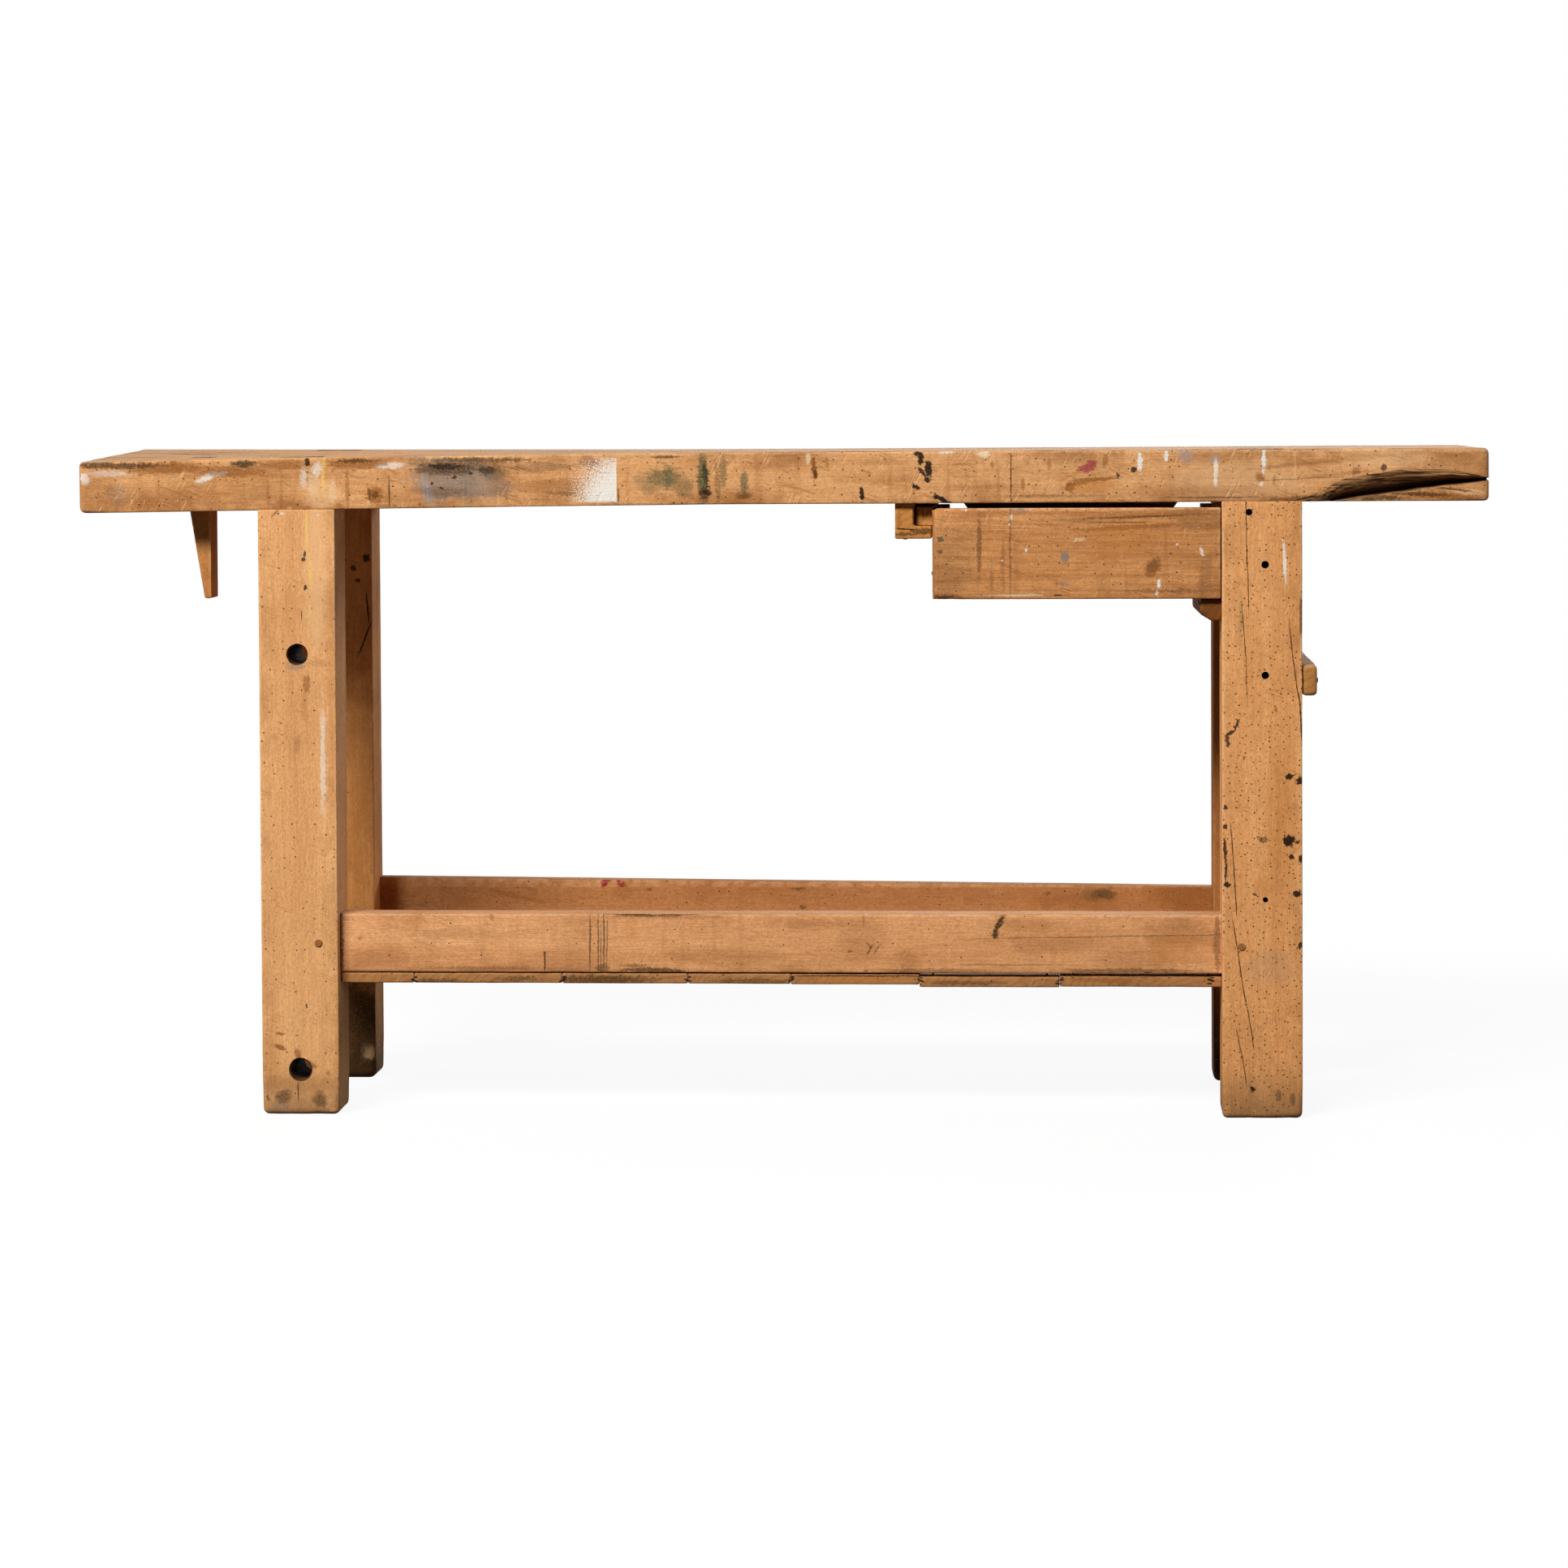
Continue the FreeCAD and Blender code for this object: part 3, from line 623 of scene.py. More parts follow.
def closeTree(shape, material):
    whole = shape.node("GeometryNodeRealizeInstances", None, {0: shape})
    dressed = whole.node("GeometryNodeSetMaterial", None, {"Geometry": whole, "Material": material})
    exitNode = shape.tree.nodes.new("NodeGroupOutput")
    shape.tree.links.new(dressed.socket, exitNode.inputs[0])


def noise4(start, point, scale, detail, seed):
    settings = {"noise_dimensions": "4D"}
    sockets = {"Vector": point, "W": seed, "Scale": scale, "Detail": detail, "Roughness": 0.55}
    return start.node("ShaderNodeTexNoise", settings, sockets)


# Wear that most timbers share, in metres
wear = {
    "step": 0.005,  # spacing of points along the timber
    "edge": 0.0022,
    "chip": 0.004,
    "chipScale": 34.0,
    "lowWear": 0.0,
    "highWear": 0.0,
    "wave": 0.0009,
    "dent": 0.0004,
    "lift": 0.0,
    "slope": 0.0,  # rise from the middle to the high end
    "hold": 0.0,  # 1 keeps the underside where it is
    "sink": 0.0,  # the low end, in wind: sunk, and turned along its length
    "twist": 0.0,
    "across": 16,
}


# A sawn timber after a long working life: edges rounded unevenly, chipped, dented and a little bowed
def wornTimberTree():
    tree, given = newTree("wornTimber", {
        "half": "Vector", "centre": "Vector", "axis": "Vector", "crowd": "Vector", "halfLong": "Float",
        "countX": "Int", "countY": "Int", "countZ": "Int", "mostEdge": "Float", "seed": "Float",
        **{key: "Float" for key in wear if key not in ("step", "across")}, "material": "Material",
    })
    start = Wire(tree)
    counts = {"Vertices X": given["countX"], "Vertices Y": given["countY"], "Vertices Z": given["countZ"]}
    cube = start.node("GeometryNodeMeshCube", None, {"Size": (2.0, 2.0, 2.0), **counts})
    unit = start.node("GeometryNodeInputPosition")
    spread = []
    for u, half, crowd in zip(apart(unit), apart(given["half"]), apart(given["crowd"])):
        inward = 1 - abs(u)
        closer = (inward * inward + crowd * crowd) ** 0.5 - crowd
        share = closer / ((crowd * crowd + 1) ** 0.5 - crowd)
        spread.append(u.sum("SIGN", u) * (half - half * share))
    flat = together(start, *spread)
    place = vectorSum("ADD", flat, given["centre"])
    along = vectorSum("DOT_PRODUCT", flat, given["axis"], 1)
    uneven = noise4(start, place, 16.0, 3.0, given["seed"])
    chipped = noise4(start, place, given["chipScale"], 4.0, given["seed"] + 5.0)
    lowEnd = ease(along + given["halfLong"], 0.06, 0.0) * (uneven + 0.4)
    highEnd = ease(given["halfLong"] - along, 0.06, 0.0) * (uneven + 0.4)
    edge = given["edge"] * (uneven * 1.5 + 0.25) + given["chip"] * ease(chipped, 0.58, 0.76)
    edge = edge + given["lowWear"] * lowEnd + given["highWear"] * highEnd
    edge = edge.sum("MINIMUM", edge, given["mostEdge"])
    inner = vectorSum("SUBTRACT", given["half"], edge)
    core = vectorSum("MINIMUM", vectorSum("MAXIMUM", flat, scaled(inner, -1.0)), inner)
    outward = vectorSum("NORMALIZE", vectorSum("SUBTRACT", flat, core))
    wave = (noise4(start, place, 4.0, 2.0, given["seed"] + 9.0) - 0.5) * given["wave"]
    dents = ease(noise4(start, place, 38.0, 2.0, given["seed"] + 13.0), 0.60, 0.78) * given["dent"]
    shaped = vectorSum("ADD", core, scaled(outward, edge + wave - dents))
    part = along / given["halfLong"]
    _, side, rise = (own / half for own, half in zip(apart(flat), apart(given["half"])))
    held = 1 - given["hold"] * (0.5 - rise * 0.5)
    winding = (part * -1.0).sum("MAXIMUM", part * -1.0, 0.0) ** 1.5
    lean = held * (given["lift"] + given["slope"] * part) + winding * (given["sink"] + given["twist"] * side)
    shaped = vectorSum("ADD", shaped, together(start, 0.0, 0.0, lean))
    shaped = vectorSum("ADD", shaped, given["centre"])
    timber = start.node("GeometryNodeSetPosition", None, {"Geometry": cube, "Position": shaped})
    timber = start.node("GeometryNodeSetShadeSmooth", None, {0: timber})
    closeTree(timber, given["material"])
    return tree


# Light weathering of a shape that is already cut: small waves along its normals
def weatherTree():
    tree, given = newTree("weather", {
        "Geometry": "Geometry", "wave": "Float", "scale": "Float", "seed": "Float", "material": "Material",
    })
    start = Wire(tree)
    place = start.node("GeometryNodeInputPosition")
    normal = start.node("GeometryNodeInputNormal")
    swell = noise4(start, place, given["scale"], 4.0, given["seed"])
    shift = scaled(normal, (swell - 0.62) * given["wave"])
    shape = start.node("GeometryNodeSetPosition", None, {"Geometry": given["Geometry"], "Offset": shift})
    shape = start.node("GeometryNodeSetShadeSmooth", None, {0: shape})
    closeTree(shape, given["material"])
    return tree


# Nails and pegs driven at points: a tapered shank, and a head that stands out a little
def driveTree():
    tree, given = newTree("drive", {
        "Geometry": "Geometry", "sides": "Int", "shank": "Float", "tip": "Float", "length": "Float",
        "head": "Float", "crown": "Float", "crownHeight": "Float", "jitter": "Float", "seed": "Int",
        "material": "Material",
    })
    start = Wire(tree)
    shank = start.node("GeometryNodeMeshCone", None, {
        "Vertices": given["sides"], "Radius Top": given["tip"],
        "Radius Bottom": given["shank"], "Depth": given["length"],
    })
    head = start.node("GeometryNodeMeshCone", None, {
        "Vertices": given["sides"], "Side Segments": 2, "Radius Top": given["crown"],
        "Radius Bottom": given["head"], "Depth": given["crownHeight"],
    })
    head = start.node("GeometryNodeTransform", None, {"Geometry": head, "Rotation": (math.pi, 0.0, 0.0)})
    joined = start.node("GeometryNodeJoinGeometry", None, {0: shank})
    tree.links.new(head.socket, joined.socket.node.inputs[0])
    inward = start.node("GeometryNodeInputNamedAttribute", {"data_type": "FLOAT_VECTOR"}, {"Name": "inward"})
    lean = start.node("FunctionNodeAlignRotationToVector", {"axis": "Z"}, {"Vector": inward})
    draw = {"Min": 0.0, "Max": 6.28, "Seed": given["seed"]}
    angle = start.node("FunctionNodeRandomValue", {"data_type": "FLOAT"}, draw, 1)
    spin = start.node("FunctionNodeAxisAngleToRotation", None, {"Axis": (0.0, 0.0, 1.0), "Angle": angle})
    turned = start.node("FunctionNodeRotateRotation", {"rotation_space": "LOCAL"}, {0: lean, 1: spin})
    sockets = {"Points": given["Geometry"], "Instance": joined, "Rotation": turned}
    placed = start.node("GeometryNodeInstanceOnPoints", None, sockets)
    whole = start.node("GeometryNodeRealizeInstances", None, {0: placed})
    place = start.node("GeometryNodeInputPosition")
    shake = start.node("ShaderNodeTexNoise", None, {"Vector": place, "Scale": 170.0, "Detail": 1.0}, 1)
    offset = scaled(vectorSum("SUBTRACT", shake, (0.5, 0.5, 0.5)), given["jitter"])
    shape = start.node("GeometryNodeSetPosition", None, {"Geometry": whole, "Offset": offset})
    closeTree(shape, given["material"])
    return tree


timberTree = wornTimberTree()
weathering = weatherTree()
driving = driveTree()
print("geometry trees built")


def addTree(piece, tree, values):
    step = piece.modifiers.new(tree.name, "NODES")
    step.node_group = tree
    for item in tree.interface.items_tree:
        if item.in_out == "INPUT" and item.name in values:
            step[item.identifier] = values[item.name]


# turns a piece and its modifiers into one plain mesh
def settle(piece, sharp=38.0):
    bpy.context.view_layer.update()
    graph = bpy.context.evaluated_depsgraph_get()
    done = piece.evaluated_get(graph)
    mesh = bpy.data.meshes.new_from_object(done, preserve_all_data_layers=True, depsgraph=graph)
    mesh.name = piece.name
    piece.modifiers.clear()
    piece.data = mesh
    mesh.polygons.foreach_set("use_smooth", [True] * len(mesh.polygons))
    mesh.set_sharp_from_angle(angle=math.radians(sharp))
    return piece


def newPiece(name, mesh=None):
    piece = bpy.data.objects.new(name, mesh or bpy.data.meshes.new(name))
    scene.collection.objects.link(piece)
    return piece


def boxMesh(name, low, high, material=None):
    mesh = bpy.data.meshes.new(name)
    shape = bmesh.new()
    bmesh.ops.create_cube(shape, size=1.0)
    size = [high[i] - low[i] for i in range(3)]
    middle = [(high[i] + low[i]) / 2 for i in range(3)]
    bmesh.ops.scale(shape, vec=size, verts=shape.verts)
    bmesh.ops.translate(shape, vec=middle, verts=shape.verts)
    shape.to_mesh(mesh)
    shape.free()
    if material:
        mesh.materials.append(material)
    return mesh


# cuts one piece with the others, or joins them to it
def carve(piece, meshes, how="DIFFERENCE"):
    tools = [newPiece("tool", mesh) for mesh in meshes]
    for tool in tools:
        step = piece.modifiers.new("carve", "BOOLEAN")
        step.operation = how
        step.solver = "EXACT"
        step.object = tool
        step.material_mode = "TRANSFER"
    settle(piece)
    for tool in tools:
        bpy.data.objects.remove(tool)


def hand(piece, body, slot, *nodes):
    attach(piece, body)
    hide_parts(*nodes)
    return piece


def wornTimber(name, low, high, axis, material, seed, changes=None):
    worn = {**wear, **(changes or {})}
    half = [(high[i] - low[i]) / 2 for i in range(3)]
    counts = list(worn.get("counts", ()))
    for i in range(len(counts), 3):
        many = int(6 + worn["across"] * min(1.0, half[i] / 0.05))
        if i == axis:
            many = int(2 * half[i] / worn["step"])
        counts.append(max(many + many % 2, 8) + 1)
    piece = newPiece(name)
    addTree(piece, timberTree, {
        **worn, "half": half, "centre": [(high[i] + low[i]) / 2 for i in range(3)],
        "axis": [float(i == axis) for i in range(3)], "halfLong": half[axis], "mostEdge": min(half) * 0.8,
        **dict(zip(("countX", "countY", "countZ"), counts)), "crowd": [8.0 / (count - 1) for count in counts],
        "seed": float(seed), "material": material,
    })
    return settle(piece)


# x, z, half width, half height in millimetres; strength and softness in percent; degrees if turned
slabMarks = {
    "dark": [
        (-826, 816.1, 48.6, 3.4, 85, 55), (-510.9, 778.3, 2, 8.1, 60, 60, 10),
        (-411.7, 811.3, 38.5, 8.1, 85, 59), (-451.4, 819.6, 12.1, 4, 50, 80),
        (-139.3, 824.4, 16.2, 1.6, 80, 50), (-91, 778.7, 6.1, 8.1, 85, 59, 20),
        (-41.4, 776.5, 8.1, 4, 50, 80), (47.6, 802.4, 2.4, 6.1, 80, 40, 8),
        (716.2, 803.7, 5.1, 4, 50, 70, 10), (-855.8, 817.2, 24.3, 4, 90, 55),
        (-669, 817.5, 16.2, 3.4, 80, 50), (-529.9, 820.9, 22.3, 2.4, 75, 50),
        (-372.9, 821.3, 60.7, 3, 80, 55), (-503.7, 778.3, 4.6, 4.6, 75, 50),
        (-362.8, 816.2, 18.2, 6.1, 60, 80), (-419, 782, 30.4, 5.1, 45, 80, -4),
        (-261.4, 778.4, 26.3, 2.4, 55, 70, -3), (-296.7, 812.9, 40.5, 6.1, 45, 59),
        (-74.7, 790.8, 3, 20.2, 50, 70, 3), (334.3, 774.1, 60.7, 1.6, 45, 80),
        (544.6, 771.3, 60.7, 1.2, 60, 50), (689.3, 776.8, 42.5, 3, 60, 80, 11),
        (644.5, 770, 30.4, 2, 70, 70, 3), (783.9, 775.5, 42.5, 2.2, 85, 70, -4),
        (744.1, 770.6, 26.3, 2.4, 85, 70, -2), (833.6, 780.3, 26.3, 1.4, 80, 50, -6),
        (684.3, 770.8, 26.3, 2.6, 85, 60, 4),
    ],
    "white": [
        (-870.3, 799, 6.1, 6.1, 80, 50), (-838.4, 806, 24.3, 3, 45, 70),
        (-714.3, 801.4, 14.2, 4, 75, 55, 25), (-697.8, 805.4, 9.1, 3, 60, 55, 12),
        (-576, 811, 5.1, 8.1, 55, 70), (-483, 815, 16.2, 3.5, 70, 60, 4), (209.9, 828.9, 8.1, 2, 60, 60),
        (449.2, 814.9, 3, 11.1, 95, 30), (481.7, 822.7, 2.6, 6.1, 90, 40),
        (542.7, 803.4, 2.8, 17.2, 95, 30, -1), (601.6, 815.2, 2.6, 16.2, 95, 30, -1),
        (598.6, 788.2, 2.5, 4, 70, 50), (-593.5, 800.9, 3, 12.1, 50, 70),
    ],
    "green": [
        (-671.1, 817.5, 11.1, 4, 80, 60), (-353.7, 805, 14.2, 7.1, 80, 70, 5),
        (-142.5, 797.1, 23.3, 10.1, 75, 59), (-136.5, 799.1, 8.1, 14.2, 90, 59),
        (-151.7, 795.1, 16.2, 6.1, 60, 80), (-92.9, 796.9, 6.6, 28.3, 95, 50),
        (-67.6, 804.9, 4, 18.2, 60, 59), (-41.4, 790.7, 4.5, 16.2, 75, 50),
        (-385.3, 796, 10.1, 22.3, 40, 90), (-116.3, 786.9, 9.1, 10.1, 55, 70),
        (-159.8, 787.1, 10.1, 9.1, 50, 80),
    ],
    "brown": [
        (-758.2, 818.8, 4, 4, 80, 50), (-655.9, 797.1, 7.1, 20.2, 30, 90),
        (-794.5, 775.3, 10.1, 10.1, 35, 90), (-503.7, 778.3, 10.1, 9.6, 90, 40),
        (-281.7, 773.4, 24.3, 6.1, 45, 90), (-322.3, 789.7, 22.3, 4, 35, 80, -8),
        (-236.7, 819.7, 8.1, 5.1, 60, 80), (-41.4, 774.5, 8.1, 3, 80, 50),
        (45.6, 809.5, 3.4, 14.2, 97, 35, 8), (61.8, 815.5, 2, 7.1, 50, 60, 8),
        (230, 813.8, 11.1, 2, 50, 70), (267.2, 812.6, 2.5, 4, 60, 60, 15), (304.3, 788.3, 2.5, 7.1, 65, 60),
        (337.5, 814.3, 2, 5.1, 50, 60), (391.6, 794, 30.4, 3, 85, 50, 4),
        (374.5, 789, 18.2, 2.4, 80, 50, 14), (363.5, 785.1, 6.1, 7.1, 97, 40, 25),
        (406.6, 818, 3, 7.1, 70, 60, -10), (597.6, 796.2, 5.1, 5.1, 75, 50), (614.6, 793.1, 2, 6.1, 50, 60),
        (644.5, 812, 60.7, 2.4, 45, 59, 6), (694.3, 817.8, 60.7, 3, 30, 90, 4),
        (843.5, 813.2, 30.4, 9.1, 30, 90), (-766.5, 812.8, 50.6, 6.1, 80, 59, 1),
        (-679.4, 808.4, 42.5, 7.1, 75, 59, 2), (-617.9, 816.2, 30.4, 6.1, 75, 59),
        (-525.9, 817.9, 34.4, 7.1, 80, 59), (-854, 789.7, 20.2, 14.2, 35, 90),
        (-730.8, 783.2, 34.4, 9.1, 30, 90), (-638.6, 782.8, 2, 18.2, 60, 70, 2),
        (-621.2, 788.8, 2, 24.3, 50, 70, -2), (-538.4, 788.5, 2.4, 24.3, 60, 70, 1),
        (-342.6, 797.9, 14.2, 24.3, 35, 90), (-232.7, 817.7, 12.1, 5.1, 70, 59),
        (-281.6, 787.5, 40.5, 10.1, 50, 59), (-225.9, 773.2, 22.3, 3, 80, 50),
        (-643.6, 799.1, 34.4, 22.3, 30, 80), (-18, 811.8, 26.3, 4, 30, 90, 1),
        (123.2, 796.1, 40.5, 4, 30, 90, -1), (133.4, 816.2, 28.3, 3, 30, 90),
        (244, 785.5, 40.5, 3, 35, 80, 1), (544.6, 781.4, 40.5, 4, 25, 90, 1),
        (694.3, 799.8, 40.5, 2, 35, 80, 5), (818.7, 772.3, 40.5, 3, 75, 70, -3),
        (744.1, 795.6, 40.5, 4, 75, 70, 8), (813.7, 801.3, 42.5, 3, 65, 70, -2),
        (706.3, 786.8, 30.4, 5.1, 75, 70, 14),
    ],
    "grey": [
        (-828.4, 782.5, 10.1, 12.1, 30, 90), (-408.7, 798.2, 40.5, 20.2, 80, 80),
        (-367.1, 787.9, 34.4, 14.2, 70, 59), (-429.2, 790.1, 14.2, 22.3, 50, 80),
    ],
    "black": [
        (-588.2, 820.2, 3.5, 5.1, 90, 50), (-403.6, 800.2, 2, 3, 80, 40), (-383.2, 804.1, 3, 2, 80, 40),
        (-432.2, 792.2, 2, 2, 80, 40), (-419, 786, 2.4, 1.6, 80, 40), (-415.8, 813.4, 20.2, 3, 70, 50),
        (-362.8, 808.1, 10.1, 5.1, 60, 50), (-89.9, 802, 3.4, 14.2, 60, 50, 8),
        (-86.9, 779.7, 5.1, 4, 70, 50, -20), (105, 777.5, 2.6, 9.1, 95, 30, 3),
        (174.7, 827.1, 6.1, 2.6, 95, 35), (178.7, 821, 3.6, 7.1, 95, 35, -10),
        (187.7, 807.9, 4.7, 10.1, 95, 35, 8), (180.7, 802.9, 2.4, 9.1, 90, 35, 40),
        (185.7, 794.8, 3, 4, 95, 35, 30), (186.7, 792.8, 3, 2, 90, 40, -20),
        (172.5, 785.8, 5.1, 2.6, 95, 35, -25), (203.7, 770.6, 12.1, 3.2, 97, 30, -28),
        (422.1, 798.9, 2, 3, 80, 50), (441.7, 805.9, 3.4, 3.5, 90, 50), (749.1, 807.6, 3, 4, 80, 50),
    ],
    "yellow": [(-567.7, 818.1, 2.4, 5.1, 70, 50), (-569, 796.8, 1.8, 17.2, 50, 50)],
    "pale": [
        (-569.1, 778.5, 18.2, 15.2, 45, 80), (-437.3, 788.1, 1, 20.2, 60, 50, 1),
        (-392.5, 785.9, 1, 18.2, 50, 50, -1), (-348.8, 776.7, 1, 12.1, 70, 50),
        (640.5, 804, 0.8, 25.3, 50, 50), (569.6, 792.3, 60.7, 18.2, 35, 90),
        (759, 818.6, 34.4, 8.1, 40, 90, 3), (851.4, 777.2, 18.2, 3, 60, 70, -3),
    ],
    "crack": [
        (-485.7, 781.2, 0.8, 19.7, 80, 50), (-198.4, 776.1, 0.9, 8.1, 80, 50),
        (289.9, 797.4, 0.7, 34.2, 85, 50), (666.4, 772.9, 28.9, 1.1, 90, 40, 13),
        (706.2, 780.8, 34.2, 1.3, 90, 40, 13), (644.5, 794, 59.2, 0.7, 40, 50, 3),
    ],
    "rust": [
        (-502.7, 778.3, 6.1, 6.1, 50, 60), (361.5, 798.1, 14.2, 1.5, 60, 60, 22),
        (389.5, 785, 26.3, 5.1, 60, 70, 4),
    ],
    "bluegrey": [
        (-442.4, 788.2, 2.4, 16.2, 60, 50, 2), (-435.4, 781, 4, 10.1, 50, 80),
        (504.7, 823.7, 9.1, 7.1, 50, 80), (540.7, 818.5, 6.1, 5.1, 45, 80),
    ],
    "cream": [
        (38.6, 821.6, 3, 6.1, 60, 60), (256.2, 825.7, 7.1, 3.5, 85, 50), (-581.2, 796.8, 6.1, 20.2, 35, 59),
        (-556.8, 783.5, 4, 14.2, 30, 59),
    ],
    "red": [(386.6, 810.1, 10.1, 6.1, 90, 40, 38), (378.6, 808.1, 8.1, 3, 80, 40, 20)],
}
leftLegMarks = {
    "dark": [
        (-628.6, 756.4, 7.1, 1.2, 60, 50, 45), (-624.9, 22.9, 9.1, 8.1, 70, 70, 10),
        (-579.7, 19, 7.1, 7.1, 70, 70), (-645.5, 20.3, 2, 4, 60, 60),
    ],
    "white": [
        (-620.5, 755.3, 2.5, 2, 70, 50), (-574.4, 753.7, 2, 2, 70, 50), (-572, 447.1, 2.8, 52.6, 55, 80),
    ],
    "black": [
        (-592.3, 761.8, 1.6, 1.6, 90, 40), (-592.8, 704.5, 1.5, 4, 85, 40, -10),
        (-594.4, 697.4, 2, 3.5, 85, 40), (-592.6, 662.8, 1.7, 3, 90, 40), (-595.1, 137, 1.3, 3, 80, 40),
    ],
    "yellow": [
        (-590, 732.9, 1.7, 24.3, 50, 50), (-585.3, 679.1, 1.8, 20.2, 45, 50),
        (-586.7, 633.3, 1.6, 14.2, 35, 50),
    ],
    "pale": [(-580.1, 687.2, 11.1, 78.9, 40, 90)],
    "crack": [(-597.4, 628.3, 0.8, 5.1, 70, 50), (-606.8, 29.1, 0.8, 12.1, 70, 50)],
    "grey": [(-603.2, 564.2, 10.1, 4, 50, 70), (-628.1, 11.6, 8.1, 7.1, 35, 80, 20)],
    "brown": [
        (-591.6, 541.2, 4.6, 11.1, 65, 35), (-594.4, 516.3, 3, 20.2, 32, 80, 2),
        (-575, 568.2, 12.1, 4, 25, 90), (-604.1, 467.5, 3.5, 10.1, 30, 80), (-628.3, 102.1, 6.6, 2, 85, 40),
        (-629.5, 84.8, 8.1, 3.2, 85, 40, -22), (-607.8, 99.8, 2, 2, 80, 40),
        (-607, 76.7, 4, 6.1, 80, 50, 20), (-588.6, 63, 6.1, 3, 70, 50, -30), (-568.6, 52.1, 3, 3, 60, 50),
        (-604.2, 39.4, 46.6, 8.1, 35, 90),
    ],
    "rust": [(-559.2, 504.1, 4, 121.4, 30, 90)],
}
rightLegMarks = {
    "crack": [
        (580, 743.1, 0.6, 31.6, 85, 50, 1), (581.2, 698, 0.6, 30.3, 85, 50, 2),
        (582.4, 654.8, 0.6, 28.9, 85, 50, 1), (576.4, 615.6, 0.6, 21, 80, 50, 5),
        (578.8, 583.5, 0.6, 22.4, 75, 50, 3), (580.3, 545.2, 0.6, 28.9, 60, 50, 2),
        (635.3, 594.4, 0.7, 21, 85, 50, 5), (639.3, 560.2, 0.7, 26.3, 85, 50, 8),
        (644.2, 525.1, 0.8, 23.7, 85, 50, 9), (647.7, 486.8, 0.9, 27.6, 85, 50, 3),
        (562.4, 340.8, 0.7, 25, 85, 50, 4), (565, 302.5, 0.7, 25, 85, 50, 4),
        (566.8, 269.2, 0.7, 18.4, 85, 50, 3), (565.9, 229.8, 0.7, 22.4, 85, 50, 10),
        (571.3, 193.4, 0.7, 27.6, 85, 50, 7), (577.8, 152, 0.7, 27.6, 85, 50, 11),
        (585.3, 109.6, 0.7, 28.9, 80, 50, 9), (570.7, 94.4, 0.7, 22.4, 75, 50, 11),
        (576.7, 61, 0.7, 23.7, 75, 50, 9),
    ],
    "white": [(627.4, 689.8, 2.1, 23.3, 85, 40, 3)],
    "green": [(573, 613.6, 2.2, 20.2, 35, 80), (597.1, 347.9, 3, 3, 60, 50)],
    "black": [
        (568.2, 489.9, 1.8, 9.1, 90, 40, -20), (561.2, 479.9, 7.1, 1.8, 90, 40, 28),
        (556.2, 473.8, 2.6, 5.1, 85, 50), (557.2, 465.8, 2, 3, 85, 50),
        (632.8, 425.5, 5.1, 3.4, 95, 40, 10), (645.2, 420.4, 4, 4, 95, 40, 35),
        (647.3, 625.5, 1.4, 20.2, 70, 60), (554.1, 387.2, 2, 3, 90, 50), (554, 363, 3, 3, 90, 50),
        (553.6, 334.8, 1.8, 16.2, 90, 50, 2), (554.7, 307.5, 1.3, 12.1, 90, 50, -2),
        (555.9, 291.4, 4, 3, 95, 40), (632.1, 345.9, 7.1, 7.1, 97, 40, 15), (642.7, 344.3, 3, 2, 90, 50),
        (636.1, 325.7, 3, 3, 95, 40), (646.7, 322.7, 3, 5.1, 95, 40), (642.6, 279.4, 5.1, 4, 95, 40, 20),
        (646.6, 215.8, 3, 5.1, 90, 50, -30), (589.8, 279.3, 3.2, 1.4, 80, 50, -20),
        (586.7, 36.8, 2.8, 4.6, 95, 40, 10),
    ],
    "brown": [(616.3, 508, 2.5, 3, 80, 50), (577.9, 448.6, 2, 2, 80, 50)],
    "dark": [
        (601.1, 346.9, 5.1, 3.4, 75, 50), (619.8, 27.8, 3, 5.1, 60, 60), (636.8, 23.8, 3, 7.1, 60, 60),
    ],
    "rust": [
        (599.7, 288.9, 9.1, 11.1, 40, 80), (589.3, 553.3, 12.1, 60.7, 25, 90),
        (624.1, 382.2, 14.2, 70.8, 25, 90),
    ],
    "grey": [(609.9, 188.9, 24.3, 17.2, 20, 90)],
}
rearLegMarks = {
    "black": [
        (-562.5, 688.7, 4.3, 5.4, 90, 50), (-579.9, 675.9, 3.2, 4.3, 80, 50),
        (-573.5, 659.8, 3.2, 3.2, 80, 50),
    ],
    "crack": [(-560.9, 624.4, 1.1, 22.4, 90, 40, 5), (-563.3, 586.9, 1.1, 23.8, 90, 40, -22)],
    "pale": [(-564.6, 35.1, 8.6, 9.7, 85, 70)],
    # painted shade: the three dark marks low on the leg stand for the shade under the shelf
    "dark": [
        (-572.9, 79.3, 23.6, 40.9, 93, 80), (-579.7, 41.5, 10.8, 23.6, 90, 80),
        (-573.4, 21, 17.2, 5.4, 80, 70),
    ],
}
runnerMarks = {
    "crack": [(157.9, 733.2, 11.1, 0.9, 95, 40, -3)],
    "brown": [(150.9, 745.3, 3, 10.1, 40, 80), (160, 757.4, 7.1, 2, 40, 80, 10)],
    "dark": [
        (168.6, 751.3, 1.2, 13.2, 80, 50), (180.1, 730.1, 14.2, 4, 80, 59), (157.9, 727.1, 14.2, 2, 80, 59),
    ],
}
hangerMarks = {
    # painted shadow: the dark marks at the hanger's left edge and top stand for the shadow of the runner's
    # upright and the top
    "dark": [(171.7, 753, 2.5, 11.1, 85, 70), (179.8, 761.5, 11.1, 1.5, 80, 60)],
    "crack": [(179.8, 754, 0.6, 8.1, 70, 50, 10), (184.8, 750.9, 0.5, 6.1, 60, 50, -8)],
}
